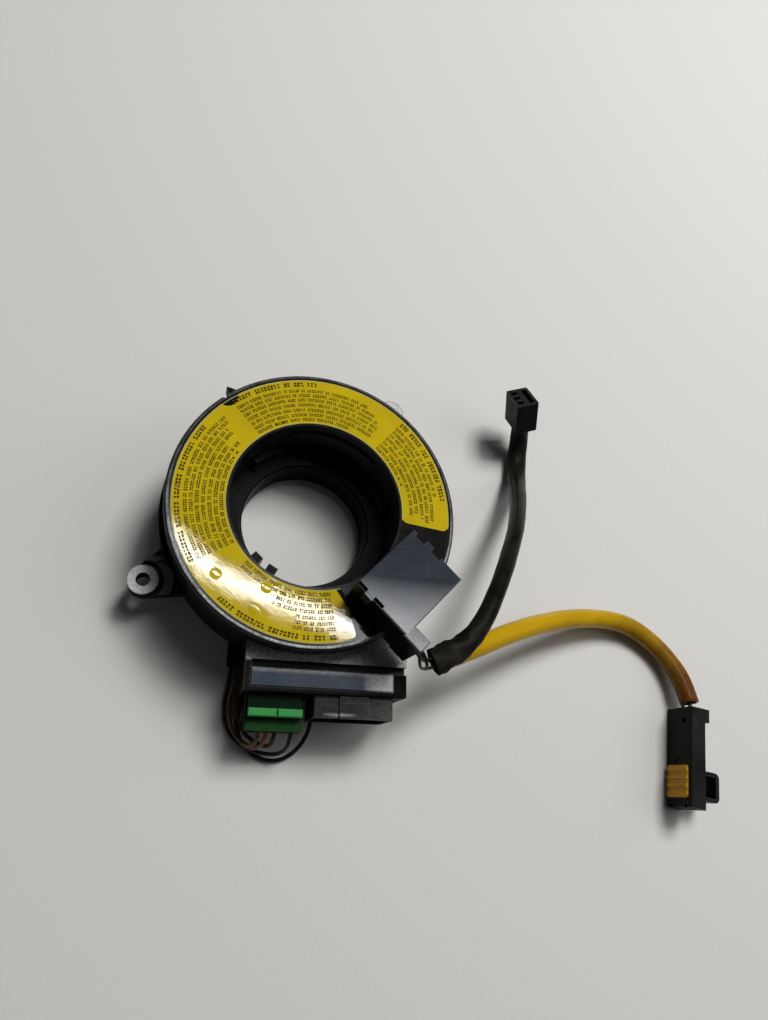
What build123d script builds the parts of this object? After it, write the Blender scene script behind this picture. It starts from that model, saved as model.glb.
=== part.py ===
from build123d import *
import os
from math import cos, degrees, pi, radians, sin, tan

os.makedirs("parts", exist_ok=True)

# A steering clock spring: a rotor that turns with the steering wheel, on a stator that
# stays with the column, with a coiled flat cable between them. Millimetres, +Z up. The
# origin is on the bore axis, in the plane that the unit lies on. The connector block is
# at -Y, and the wire tower stands over the front right of the ring.

# ---------------------------------------------------------------- driving dimensions
# Clearances
RUN_GAP = 0.3            # between parts that turn past each other
SEAT_GAP = 0.1           # between moulded parts that clip together

# Rotor ring
BORE_R = 24.3            # bore of the lower sleeve
HUB_R = 31.0             # bore of the rotor hub
HUB_WALL = 1.8
RIM_R = 52.5             # outside of the turning rim
TOTAL_H = 36.0           # from the floor to the top of the rim
RIM_DEPTH = 6.0          # visible height of the rim
RIM_T = 1.6
RIM_ROUND = 1.4
DISC_T = 2.5
LIP_W = 2.2              # raised edge outside the label
BORE_LIP_W = 0.7         # raised edge inside the label
SKIRT_T = 1.2            # guide skirt inside the stator wall
SKIRT_DEPTH = 5.6
BAND_T = 0.8             # raised band inside the hub
BAND_H = 7.0
BAND_DROP = 5.5
BAND_START = 43.0
BAND_SPAN = 67.0
LUG_W = 3.6              # driving lugs high on the hub wall
LUG_H = 6.0
LUG_DROP = 2.4
LUG_REACH = 3.4
LUG_ANGLES = (-132.0, -119.0)
RIM_BUTTON_R = 1.5       # sight notch in the rim
RIM_BUTTON_ANGLE = 133.0

# Label
LABEL_T = 0.25
LABEL_CLEAR = 0.15
LABEL_START = -6.0
LABEL_SPAN = 295.0
LABEL_CORNER = 2.5
LABEL_NOTCH_R = 4.0
LABEL_NOTCH_IN = 1.0

# Stator drum
WALL_STEP = 0.5          # wall set in from the rim
WALL_T = 2.0
FLOOR_T = 2.0
SENSOR_H = 8.0           # angle sensor under the drum
SHOULDER_T = 2.0
SHOULDER_H = 12.0
SHOULDER_START = 170.0
SHOULDER_SPAN = 34.0
SHOULDER_ROOT = 0.5      # how deep it starts in the wall
POINTER_REACH = 5.6
POINTER_T = 5.0
POINTER_ANGLE = 126.5
POINTER_HALF = 4.6
POINTER_ROOT = 0.8
POINTER_SKEW = 1.5       # its tip is this far off its middle
EAR_ANGLES = (206.5, 58.3)
EAR_REACH = RIM_R + 10.2 # bore axis to screw hole
EAR_BOSS_R = 5.4
EAR_HOLE_R = 2.4
EAR_T = 6.0
EAR_TOP = 16.0
EAR_WEB_T = 4.2
EAR_FOOT_W = 19.0
EAR_GROOVE_W = 1.4
EAR_GROOVE_DEPTH = 1.0
EAR_ROOT = 1.0           # how deep it starts in the wall
EAR_RIB_T = 1.8
EAR_RIB_DROP = 0.6

# Connector block of the stator
BLOCK_X0 = -19.6
BLOCK_L = 56.4
BLOCK_FRONT = RIM_R + 12.7   # bore axis to the front wall
BLOCK_TOP = 26.5
BLOCK_BOTTOM = 5.0
BLOCK_WALL = 1.8
BLOCK_BACK = RIM_R - 8.5     # where the block meets the drum
BLOCK_EDGE = 0.8
TERMINAL_W = 4.2
TERMINAL_TOP = 22.0
GROOVE_Y = RIM_R + 2.1       # dark groove behind the cover
GROOVE_W = 2.6
GROOVE_DEPTH = 2.6
COVER_L = 49.4
COVER_W = 6.2
COVER_LEFT = 2.2         # from the block's left side to the cover
COVER_STEP = 0.6
COVER_T = 1.9
EDGE_CHAMFER = 0.4       # top edges of the cover and the tower's lid

# Column socket: an open shroud with twelve pins
SHROUD_X0 = 4.5
SHROUD_L = 28.1
SHROUD_REACH = 7.4
SHROUD_TOP = 24.6
SHROUD_BOTTOM = 8.4
SHROUD_WALL = 1.3
SHROUD_DEPTH = 13.4
SHROUD_KEY_X = 9.0       # the key rib on the shroud, from its left end
SHROUD_KEY_L = 10.0
SHROUD_KEY_H = 0.9
PIN = 0.64
COLUMN_PINS = 6
COLUMN_PITCH = 4.0
COLUMN_ROWS = 2
COLUMN_ROW_PITCH = 5.0
PIN_L = 6.5
PIN_SEAT = 2.2           # how far the pins go into the terminal block

# Sensor plug in the block's left socket
PLUG_X0 = -17.7
PLUG_L = 19.2
PLUG_REACH = 11.9        # how far the plug stands out of the block
PLUG_NOSE = 6.0          # how far it goes in
PLUG_BOTTOM = 11.0
PLUG_TOP = 20.2
PLUG_NECK_TOP = 22.4
PLUG_NECK_L = 4.6
PLUG_ROUND = 0.7
RETAINER_W = 2.7
RETAINER_H = 4.1
RETAINER_IN = 0.8
RETAINER_SLOT = 1.0
RETAINER_SLOT_H = 1.2
RETAINER_SLOT_AT = 0.53  # share of the plug's length
RETAINER_ROUND = 0.5
SENSOR_PINS = 6
SENSOR_PITCH = 2.8
SENSOR_WIRES = 5
PLUG_WAY_DEPTH = 2.0
PLUG_WAY_TILT = 30.0
GROUND_WAY = (7.4, 6.7)  # x and z of the fifth wire's way, under the shroud

# Angle sensor
CASE_WALL = 1.6
CASE_TOP_T = 1.0
CASE_STEP = 1.8          # set in from the drum
CASE_CLEAR = 0.8         # round the sleeve's flange
BASE_T = 1.6
BASE_CHAMFER = 0.5
LOCATOR_T = 1.5          # the base's ring inside the shell's wall
LOCATOR_H = 1.2
BOARD_T = 1.2
BOARD_IN = 3.7           # from the sleeve's flange to the board
BOARD_OUT = 0.5          # from the board to the shell's wall
BOARD_START = -150.0
BOARD_SPAN = 120.0
CODE_DISC_T = 0.4
CODE_DISC_EDGE = 10.1    # from its edge to the outside of the shell
CODE_HUB_T = 2.3
CODE_DISC_Z = 3.7
CODE_SLOTS = 36
CODE_SLOT_L = 2.2
CODE_SLOT_W = 1.8
CODE_SLOT_EDGE = 1.2     # from a slot to the disc's edge
EYE_ANGLES = (-132.0, -90.0, -48.0)
EYE_L = 8.0
EYE_W = 6.0
EYE_SLOT = 1.2
EYE_OVER = 4.0           # how far a gate reaches over the disc
EYE_CLEAR = 1.0
OUTLET_X = -18.8
OUTLET_END = RIM_R + 1.5     # bore axis to the outlet's end
OUTLET_H = 3.2
OUTLET_WALL = 0.9
OUTLET_PITCH = 1.8
OUTLET_DEPTH = 3.0

# Lower sleeve
SLEEVE_WALL = 1.7
SLEEVE_LEAD_W = 0.8      # chamfer at the top of its bore
SLEEVE_LEAD_H = 1.0
NECK_IN = 2.2            # neck set in from the ledge
LEDGE_TOP = 13.5
FLANGE_T = 1.3
FLANGE_OVER = 1.4        # how far it reaches under the stator's floor
HOOK_ANGLES = (25.0, 125.0, 205.0, 305.0)
HOOK_W = 12.0
HOOK_H = 6.5
HOOK_T = 1.2
HOOK_BARB = 0.5
HOOK_BARB_H = 1.4
HOOK_ROOT = 1.6          # how deep the slots beside a hook go
HOOK_SLOT = 1.4
HOOK_SLOT_DEPTH = 5.0

# Flat cable roll
CABLE_T = 0.35
CABLE_W = 16.0
CABLE_TURNS = 7
CABLE_CLEAR = 1.8        # from the hub to the innermost turn
CABLE_SHARE = 0.755      # how much of its chamber the roll takes
CABLE_SLOT_W = 2.0
CABLE_WAY_X = 4.0
CABLE_WAY_L = 18.0

# Wire tower on the rotor; u runs outwards, v across
TOWER_ANGLE = -43.5
TOWER_U0 = 31.2
TOWER_DEPTH = 22.8
TOWER_V0 = -14.8
TOWER_W = 27.8
TOWER_H = 15.0           # above the rim
TOWER_WALL = 1.2
TOWER_FLOOR_T = 1.9
TOWER_OVERLAP = 0.3      # how far its floor reaches into the disc
CHUTE_L = 7.1
CHUTE_W = 4.4
CHUTE_JOG = 0.6          # the chute stands out past the side wall
CHUTE_MOUTH_H = 9.0
LID_T = 1.6
LID_OVERHANG = 0.4
LID_NOTCH_D = 1.4
LID_NOTCH_L = 4.2
LID_TAB_L = 3.4
LID_TAB_H = 6.0
LID_TAB_T = 0.9
LID_TAB_LEFT_U = 36.7    # where the two spring tabs are
LID_TAB_RIGHT_U = 38.6
CARRIER_H = 6.0
BUSBARS = 4
BUSBAR_W = 1.6
BUSBAR_T = 0.6
BUSBAR_PITCH = 4.4
BUSBAR_FROM = 6.0        # from the tower's inner wall
BUSBAR_TO = 3.0          # to its outer wall
CARRIER_FROM = 3.5

# Leads and their plugs
WIRE_D = 1.5
LEAD_D = 1.1
SLEEVE_D = 6.6
TUBE_D = 7.8
SWITCH_A = 13.6          # switch plug, along its three ways
SWITCH_B = 9.6
SWITCH_H = 14.0
SWITCH_ROUND = 0.6
SWITCH_TURN = -74.0
SWITCH_WAYS = 3
SWITCH_PITCH = 3.9
SWITCH_WAY = 2.5
SWITCH_WAY_W = 3.1
SWITCH_WAY_DEPTH = 8.0
SWITCH_KEY_W = 2.4
SWITCH_KEY_WALL = 1.2
SWITCH_KEY_DEPTH = 6.0
AIRBAG_L = 39.0
AIRBAG_W = 6.9
AIRBAG_H = 15.6
AIRBAG_ROUND = 0.8
AIRBAG_TURN = -99.5
AIRBAG_START = (166.3, -61.2)
AIRBAG_LEAD_PITCH = 3.4
AIRBAG_LEAD_Z = 8.0
AIRBAG_FLANGE = 1.6
AIRBAG_FLANGE_L = 5.2
AIRBAG_FLANGE_Z = 2.0
AIRBAG_LOOP_REACH = 7.4
AIRBAG_LOOP_L = 8.4
AIRBAG_LOOP_Z = 6.0
AIRBAG_LOOP_H = 7.6
AIRBAG_LOOP_AT = 27.0
AIRBAG_LOOP_ARM = 3.0    # how far its near arm stands back
AIRBAG_LOOP_WALL = 1.6
AIRBAG_LOOP_END = 1.4    # its far wall
AIRBAG_LOOP_ROUND = 2.0
AIRBAG_NOTCH = (5.4, 2.2, 2.4)   # place along the plug, side and depth
AIRBAG_NOTCH_UP = 0.72   # share of the plug's height
AIRBAG_EAR_Z = 3.4       # the two cuts at its mouth, from top and bottom
AIRBAG_EAR_L = 3.0
AIRBAG_EAR_H = 1.8
AIRBAG_WAY = 2.6
AIRBAG_WAY_H = 3.4
AIRBAG_WAY_PITCH = 8.2
AIRBAG_WAY_DEPTH = 11.0
LOCK_L = 12.2
LOCK_H = 12.0
LOCK_T = 2.0
LOCK_SUNK = 1.0          # how deep it lies in the plug's side
LOCK_ROUND = 1.2
LOCK_THUMB_R = 3.6
LOCK_NUB = 2.6           # how far its stem shows in the latch loop
LOCK_RIBS = 3
LOCK_RIB_DEPTH = 0.5
LOCK_AT = 23.2
LOCK_STEM_L = 4.2
LOCK_STEM_H = 2.6
LOCK_CLEAR = 0.4
TERMINAL_SHARE = 0.6     # how far box terminals fill their ways
TERMINAL_T = 0.8         # both walls of a box terminal

# ------------------------------------------------------------------- derived heights
RIM_TOP = TOTAL_H
DISC_TOP = RIM_TOP - LABEL_T
DISC_BOTTOM = DISC_TOP - DISC_T
RIM_BOTTOM = RIM_TOP - RIM_DEPTH
WALL_R = RIM_R - WALL_STEP
WALL_IN = WALL_R - WALL_T
WALL_TOP = RIM_BOTTOM - RUN_GAP
FLOOR_BOTTOM = SENSOR_H
FLOOR_TOP = FLOOR_BOTTOM + FLOOR_T
HUB_OUT = HUB_R + HUB_WALL
HUB_BOTTOM = FLOOR_TOP + RUN_GAP
LEDGE_R = HUB_R - SEAT_GAP
NECK_R = LEDGE_R - NECK_IN
FLOOR_IN = NECK_R + RUN_GAP
FLANGE_R = FLOOR_IN + FLANGE_OVER
FLANGE_TOP = FLOOR_BOTTOM - RUN_GAP
FLANGE_BOTTOM = FLANGE_TOP - FLANGE_T
SLEEVE_OUT = BORE_R + SLEEVE_WALL
CASE_R = WALL_R - CASE_STEP
CASE_IN = FLANGE_R + CASE_CLEAR
CASE_WALL_IN = CASE_R - CASE_WALL
CODE_DISC_R = CASE_R - CODE_DISC_EDGE
CABLE_IN_R = HUB_OUT + CABLE_CLEAR
SKIRT_OUT = WALL_IN - RUN_GAP
CABLE_PITCH = CABLE_SHARE * (SKIRT_OUT - SKIRT_T - CABLE_IN_R) / CABLE_TURNS
LABEL_IN = HUB_R + BORE_LIP_W + LABEL_CLEAR
LABEL_OUT = RIM_R - LIP_W - LABEL_CLEAR
TOWER_TOP = RIM_TOP + TOWER_H - LID_T
TOWER_U1 = TOWER_U0 + TOWER_DEPTH
TOWER_V1 = TOWER_V0 + TOWER_W
TOWER_BOTTOM = DISC_BOTTOM - TOWER_FLOOR_T + TOWER_OVERLAP
BLOCK_X1 = BLOCK_X0 + BLOCK_L
COVER_X0 = BLOCK_X0 + COVER_LEFT
COVER_Y1 = -GROOVE_Y - GROOVE_W
COVER_Y0 = COVER_Y1 - COVER_W
PLUG_FRONT = -BLOCK_FRONT - PLUG_REACH
PLUG_WIRE_Z = (PLUG_BOTTOM + PLUG_TOP) / 2


# ------------------------------------------------------------------------- shapes
def block(x0, x1, y0, y1, z0, z1):
    """A box between two corners."""
    middle = Pos((x0 + x1) / 2, (y0 + y1) / 2, (z0 + z1) / 2)
    return middle * Box(x1 - x0, y1 - y0, z1 - z0)


def ring(r_in, r_out, z0, z1):
    """A washer about the bore axis."""
    return Pos(0, 0, z0) * extrude(Circle(r_out) - Circle(r_in), z1 - z0)


def sector(r_in, r_out, z0, z1, start, span):
    """Part of a washer, from the angle start over span degrees."""
    middle = Pos((r_in + r_out) / 2, (z0 + z1) / 2)
    profile = Plane.XZ * middle * Rectangle(r_out - r_in, z1 - z0)
    return Rot(0, 0, start) * revolve(profile, Axis.Z, span)


def polar(radius, angle):
    """A point in the floor plane from its radius and angle."""
    return radius * cos(radians(angle)), radius * sin(radians(angle))


def at_angle(angle, shape):
    """Turns a shape that was drawn along +X to an angle about the bore."""
    return Rot(0, 0, angle) * shape


def tube_path(points, name):
    """Straight runs joined by tangent arcs, each as large as its two runs allow."""
    knots = [Vector(*p) for p in points]
    radii = []
    for before, here, after in zip(knots, knots[1:], knots[2:]):
        shorter = min((here - before).length, (after - here).length)
        turn = radians((here - before).get_angle(after - here))
        radii.append(0.45 * shorter / tan(turn / 2))
    print(name, "bend radii", [round(r, 1) for r in radii])
    return FilletPolyline(*points, radius=radii)


def tube(points, diameter, name):
    """A round cord of one diameter along a path."""
    path = tube_path(points, name)
    solid = sweep(Plane(origin=path @ 0, z_dir=path % 0) * Circle(diameter / 2), path=path)
    ideal = pi * diameter**2 / 4 * path.length
    print(name, "length", round(path.length, 1), "volume share", round(solid.volume / ideal, 3))
    return solid


# --------------------------------------------------------------------- rotor pieces
def tower_plan(grow=0):
    """The tower's plan: a rectangle with the wire chute at its outer left corner."""
    chute_v = TOWER_V0 - CHUTE_JOG
    corners = [
        (TOWER_U0, TOWER_V0),
        (TOWER_U1, TOWER_V0),
        (TOWER_U1, chute_v),
        (TOWER_U1 + CHUTE_L, chute_v),
        (TOWER_U1 + CHUTE_L, chute_v + CHUTE_W),
        (TOWER_U1, chute_v + CHUTE_W),
        (TOWER_U1, TOWER_V1),
        (TOWER_U0, TOWER_V1),
    ]
    plan = make_face(Polyline(*corners, close=True))
    if grow == 0:
        return plan
    return offset(plan, grow, kind=Kind.INTERSECTION)


def tower_place(shape):
    """Puts a shape drawn in the tower's u, v plan in its place on the rotor."""
    return at_angle(TOWER_ANGLE, shape)


def rotor_ring():
    """The turned section: hub, disc, rim and guide skirt in one revolved profile."""
    profile = Polyline(
        (HUB_R, HUB_BOTTOM),
        (HUB_R, RIM_TOP),
        (HUB_R + BORE_LIP_W, RIM_TOP),
        (HUB_R + BORE_LIP_W, DISC_TOP),
        (RIM_R - LIP_W, DISC_TOP),
        (RIM_R - LIP_W, RIM_TOP),
        (RIM_R, RIM_TOP),
        (RIM_R, RIM_BOTTOM),
        (RIM_R - RIM_T, RIM_BOTTOM),
        (RIM_R - RIM_T, DISC_BOTTOM),
        (SKIRT_OUT, DISC_BOTTOM),
        (SKIRT_OUT, DISC_BOTTOM - SKIRT_DEPTH),
        (SKIRT_OUT - SKIRT_T, DISC_BOTTOM - SKIRT_DEPTH),
        (SKIRT_OUT - SKIRT_T, DISC_BOTTOM),
        (HUB_OUT, DISC_BOTTOM),
        (HUB_OUT, HUB_BOTTOM),
        close=True,
    )
    section = make_face(profile)
    corner = section.vertices().sort_by(Axis.X)[-2:].sort_by(Axis.Y)[-1]
    section = fillet(corner, RIM_ROUND)
    return revolve(Plane.XZ * section, Axis.Z)


def tower_walls():
    """The open-topped wire box on the disc, with its chute and the chute's open end."""
    shell = Pos(0, 0, TOWER_BOTTOM) * extrude(tower_plan(), TOWER_TOP - TOWER_BOTTOM)
    mouth_u = TOWER_U1 + CHUTE_L
    v0 = TOWER_V0 - CHUTE_JOG + TOWER_WALL
    v1 = v0 + CHUTE_W - 2 * TOWER_WALL
    shell -= block(mouth_u - 2 * TOWER_WALL, mouth_u + 1, v0, v1, TOWER_TOP - CHUTE_MOUTH_H, TOWER_TOP)
    zone_h = DISC_BOTTOM - TOWER_BOTTOM + 1
    drum_zone = Pos(0, 0, TOWER_BOTTOM - 1) * extrude(Circle(RIM_R - RIM_T), zone_h)
    return tower_place(shell) - drum_zone


def rotor():
    """Disc, hub, rim, lugs and tower, moulded in one."""
    body = rotor_ring()
    band_top = RIM_TOP - BAND_DROP
    body += sector(HUB_R - BAND_T, HUB_R + 0.2, band_top - BAND_H, band_top, BAND_START, BAND_SPAN)
    lug_top = RIM_TOP - LUG_DROP
    for angle in LUG_ANGLES:
        lug = block(HUB_R - LUG_REACH, HUB_R + 0.4, -LUG_W / 2, LUG_W / 2, lug_top - LUG_H, lug_top)
        body += at_angle(angle, lug)
    body += tower_walls()
    body -= tower_place(Pos(0, 0, DISC_TOP) * extrude(tower_plan(-TOWER_WALL), TOWER_TOP))
    slot_u = HUB_OUT + CABLE_SLOT_W
    middle_v = (TOWER_V0 + TOWER_V1) / 2
    slot = Pos(slot_u, middle_v, DISC_TOP) * Box(CABLE_SLOT_W, CABLE_W + 2, 4 * DISC_T)
    body -= tower_place(slot)
    notch = Pos(RIM_R, 0, RIM_BOTTOM - 1) * Cylinder(RIM_BUTTON_R, 4 * RIM_DEPTH)
    body -= at_angle(RIM_BUTTON_ANGLE, notch)
    return body


def label():
    """The thin ring label, open where the tower stands, with rounded ends."""
    whole = sector(LABEL_IN, LABEL_OUT, DISC_TOP, RIM_TOP, LABEL_START, LABEL_SPAN)
    ends = whole.edges().filter_by(Axis.Z)
    whole = fillet(ends, LABEL_CORNER)
    notch = Pos(RIM_R - LABEL_NOTCH_IN, 0, RIM_TOP) * Cylinder(LABEL_NOTCH_R, 4 * LABEL_T)
    return whole - at_angle(RIM_BUTTON_ANGLE, notch)


def lid_side(v_wall, outward, tab_u):
    """The two notches of one lid side, and the spring tab that hangs between them."""
    edge = v_wall + outward * LID_OVERHANG
    step = (LID_TAB_L + LID_NOTCH_L) / 2
    depth = LID_NOTCH_D * 2
    notch = Pos(0, edge, TOWER_TOP + LID_T / 2) * Box(LID_NOTCH_L, depth, 2 * LID_T)
    notches = [Pos(tab_u + side * step, 0) * notch for side in (-1, 1)]
    middle_v = v_wall + outward * (LID_TAB_T / 2 + SEAT_GAP)
    tab = Pos(tab_u, middle_v, TOWER_TOP + LID_T - LID_TAB_H / 2) * Box(LID_TAB_L, LID_TAB_T, LID_TAB_H)
    return notches, tab


def tower_lid():
    """The tower's snap lid: a plate with notches, and a spring tab between each two."""
    plate = Pos(0, 0, TOWER_TOP) * extrude(tower_plan(LID_OVERHANG), LID_T)
    plate = chamfer(plate.faces().sort_by(Axis.Z)[-1].outer_wire().edges(), EDGE_CHAMFER)
    left_notches, left_tab = lid_side(TOWER_V0, -1, LID_TAB_LEFT_U)
    right_notches, right_tab = lid_side(TOWER_V1, 1, LID_TAB_RIGHT_U)
    return tower_place(plate - left_notches - right_notches + left_tab + right_tab)


def busbar_set(z0, z1):
    """The tower's brass strips, side by side."""
    first = -(BUSBARS - 1) * BUSBAR_PITCH / 2
    middle_v = (TOWER_V0 + TOWER_V1) / 2
    u0 = TOWER_U0 + TOWER_WALL + BUSBAR_FROM
    u1 = TOWER_U1 - TOWER_WALL - BUSBAR_TO
    bars = Part()
    for i in range(BUSBARS):
        v = middle_v + first + i * BUSBAR_PITCH
        bars += block(u0, u1, v - BUSBAR_W / 2, v + BUSBAR_W / 2, z0, z1)
    return bars


def busbars():
    """Brass strips that join the flat cable to the leads."""
    z0 = DISC_TOP + CARRIER_H - BUSBAR_T
    return tower_place(busbar_set(z0, DISC_TOP + CARRIER_H))


def busbar_carrier():
    """The moulded block that holds the strips, grooved for each."""
    inset = TOWER_WALL + SEAT_GAP
    u0 = TOWER_U0 + inset + CARRIER_FROM
    top = DISC_TOP + CARRIER_H
    body = block(u0, TOWER_U1 - inset, TOWER_V0 + inset, TOWER_V1 - inset, DISC_TOP, top)
    body -= busbar_set(top - BUSBAR_T, top)
    return tower_place(body)


def lower_sleeve():
    """The ring that clips up into the hub and holds rotor and stator together."""
    profile = Polyline(
        (BORE_R, 0),
        (SLEEVE_OUT, 0),
        (SLEEVE_OUT, FLANGE_BOTTOM),
        (FLANGE_R, FLANGE_BOTTOM),
        (FLANGE_R, FLANGE_TOP),
        (NECK_R, FLANGE_TOP),
        (NECK_R, HUB_BOTTOM),
        (LEDGE_R, HUB_BOTTOM),
        (LEDGE_R, LEDGE_TOP),
        (BORE_R + SLEEVE_LEAD_W, LEDGE_TOP),
        (BORE_R, LEDGE_TOP - SLEEVE_LEAD_H),
        close=True,
    )
    body = revolve(Plane.XZ * make_face(profile), Axis.Z)
    arc = degrees(HOOK_W / LEDGE_R)
    hook_out = LEDGE_R - SEAT_GAP
    low = LEDGE_TOP - HOOK_ROOT
    top = LEDGE_TOP + HOOK_H
    barb_in = hook_out - HOOK_T - HOOK_BARB
    for angle in HOOK_ANGLES:
        start = angle - arc / 2
        body += sector(hook_out - HOOK_T, hook_out, low, top, start, arc)
        body += sector(barb_in, hook_out, top - HOOK_BARB_H, top, start, arc)
        for side in (-1, 1):
            slot = Pos(LEDGE_R, 0, LEDGE_TOP) * Box(HOOK_SLOT_DEPTH, HOOK_SLOT, 2 * HOOK_ROOT)
            body -= at_angle(angle + side * (arc / 2 + HOOK_SLOT), slot)
    return body


def code_disc():
    """The sensor's slotted steel disc, on the sleeve under its flange."""
    inner = SLEEVE_OUT + SEAT_GAP
    body = ring(inner, CODE_DISC_R, CODE_DISC_Z, CODE_DISC_Z + CODE_DISC_T)
    slot_out = CODE_DISC_R - CODE_SLOT_EDGE
    half = CODE_SLOT_W / 2
    window = block(slot_out - CODE_SLOT_L, slot_out, -half, half, CODE_DISC_Z - 1, CODE_DISC_Z + 1)
    cuts = [at_angle(i * 360 / CODE_SLOTS, window) for i in range(CODE_SLOTS)]
    hub = ring(inner, inner + CODE_HUB_T, CODE_DISC_Z, FLANGE_BOTTOM)
    return body - cuts + hub


# -------------------------------------------------------------------- stator pieces
def ear(angle):
    """One screw ear: a boss, a tapered web to the drum and a groove round the boss."""
    low = EAR_TOP - EAR_T
    boss = Pos(EAR_REACH, 0, low) * extrude(Circle(EAR_BOSS_R), EAR_T)
    root = WALL_R - EAR_ROOT
    plan = make_hull(
        (Pos(EAR_REACH, 0) * Circle(EAR_BOSS_R)).edges()
        + (Pos(root, 0) * Rectangle(EAR_ROOT, EAR_FOOT_W)).edges()
    )
    web = Pos(0, 0, low) * extrude(plan, EAR_WEB_T)
    rib_y = -EAR_FOOT_W / 3
    rib = block(root, EAR_REACH, rib_y, rib_y + EAR_RIB_T, low, EAR_TOP - EAR_RIB_DROP)
    moat_plan = Circle(EAR_BOSS_R + EAR_GROOVE_W) - Circle(EAR_BOSS_R)
    moat = Pos(EAR_REACH, 0, low + EAR_WEB_T - EAR_GROOVE_DEPTH) * extrude(moat_plan, EAR_T)
    hole = Pos(EAR_REACH, 0, EAR_TOP - 2 * EAR_T) * extrude(Circle(EAR_HOLE_R), 3 * EAR_T)
    shape = (web + rib) - moat + boss - hole
    return at_angle(angle, shape)


def pointer():
    """The three-cornered alignment pointer on the wall."""
    low = WALL_TOP - POINTER_T
    foot_a = polar(WALL_R - POINTER_ROOT, POINTER_HALF)
    foot_b = polar(WALL_R - POINTER_ROOT, -POINTER_HALF)
    tip = (WALL_R + POINTER_REACH, POINTER_SKEW)
    plan = make_face(Polyline(foot_a, tip, foot_b, close=True))
    return at_angle(POINTER_ANGLE, Pos(0, 0, low) * extrude(plan, POINTER_T))


def drum():
    """The cable chamber's outer wall and floor, with shoulder, ears and pointer."""
    body = ring(WALL_IN, WALL_R, FLOOR_BOTTOM, WALL_TOP)
    body += ring(FLOOR_IN, WALL_IN + 0.5, FLOOR_BOTTOM, FLOOR_TOP)
    inner = WALL_R - SHOULDER_ROOT
    top = FLOOR_BOTTOM + SHOULDER_H
    body += sector(inner, WALL_R + SHOULDER_T, FLOOR_BOTTOM, top, SHOULDER_START, SHOULDER_SPAN)
    for angle in EAR_ANGLES:
        body += ear(angle)
    return body + pointer()


def column_socket_box():
    """Corners of the hollow in the column shroud: x0, x1, y0, y1, z0, z1."""
    x0 = SHROUD_X0 + SHROUD_WALL
    x1 = SHROUD_X0 + SHROUD_L - SHROUD_WALL
    y0 = -BLOCK_FRONT - SHROUD_REACH
    return x0, x1, y0, y0 + SHROUD_DEPTH, SHROUD_BOTTOM + SHROUD_WALL, SHROUD_TOP - SHROUD_WALL


def plug_socket_box():
    """Corners of the hollow that takes the sensor plug's nose."""
    x0 = PLUG_X0 - SEAT_GAP
    x1 = PLUG_X0 + PLUG_L + SEAT_GAP
    z0 = PLUG_BOTTOM - SEAT_GAP
    return x0, x1, -BLOCK_FRONT - 1, -BLOCK_FRONT + PLUG_NOSE + SEAT_GAP, z0, PLUG_TOP + SEAT_GAP


def terminal_room(clear):
    """Corners of the room behind both sockets, open below, less a clearance."""
    x0 = BLOCK_X0 + BLOCK_WALL + clear
    x1 = BLOCK_X1 - BLOCK_WALL - clear
    y0 = -BLOCK_FRONT + PLUG_NOSE + BLOCK_WALL + clear
    return x0, x1, y0, y0 + TERMINAL_W - 2 * clear, BLOCK_BOTTOM, TERMINAL_TOP - clear


def connector_block():
    """The block on the drum: body, cover seat, groove and the open shroud."""
    body = block(BLOCK_X0, BLOCK_X1, -BLOCK_FRONT, -BLOCK_BACK, BLOCK_BOTTOM, BLOCK_TOP)
    front_edges = body.edges().filter_by(Axis.X).sort_by(Axis.Y)[:2]
    front_corners = body.edges().filter_by(Axis.Z).sort_by(Axis.Y)[:2]
    body = fillet(front_edges + front_corners, BLOCK_EDGE)
    shroud_front = -BLOCK_FRONT - SHROUD_REACH
    shroud_x1 = SHROUD_X0 + SHROUD_L
    root_y = -BLOCK_FRONT + BLOCK_WALL
    shroud = block(SHROUD_X0, shroud_x1, shroud_front, root_y, SHROUD_BOTTOM, SHROUD_TOP)
    shroud = fillet(shroud.edges().filter_by(Axis.Y), BLOCK_EDGE)
    body += shroud
    key_x = SHROUD_X0 + SHROUD_KEY_X
    key_top = SHROUD_TOP + SHROUD_KEY_H
    body += block(key_x, key_x + SHROUD_KEY_L, shroud_front, -BLOCK_FRONT, SHROUD_TOP, key_top)
    groove_low = BLOCK_TOP - GROOVE_DEPTH
    body -= block(COVER_X0, BLOCK_X1 + 1, COVER_Y1, -GROOVE_Y, groove_low, BLOCK_TOP + 1)
    seat_low = BLOCK_TOP + COVER_STEP - COVER_T
    body -= block(
        COVER_X0 - SEAT_GAP,
        COVER_X0 + COVER_L + SEAT_GAP,
        COVER_Y0 - SEAT_GAP,
        COVER_Y1 + SEAT_GAP,
        seat_low,
        BLOCK_TOP + 1,
    )
    body -= block(*column_socket_box())
    body -= block(*plug_socket_box())
    body -= block(*terminal_room(0))
    return body


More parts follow.
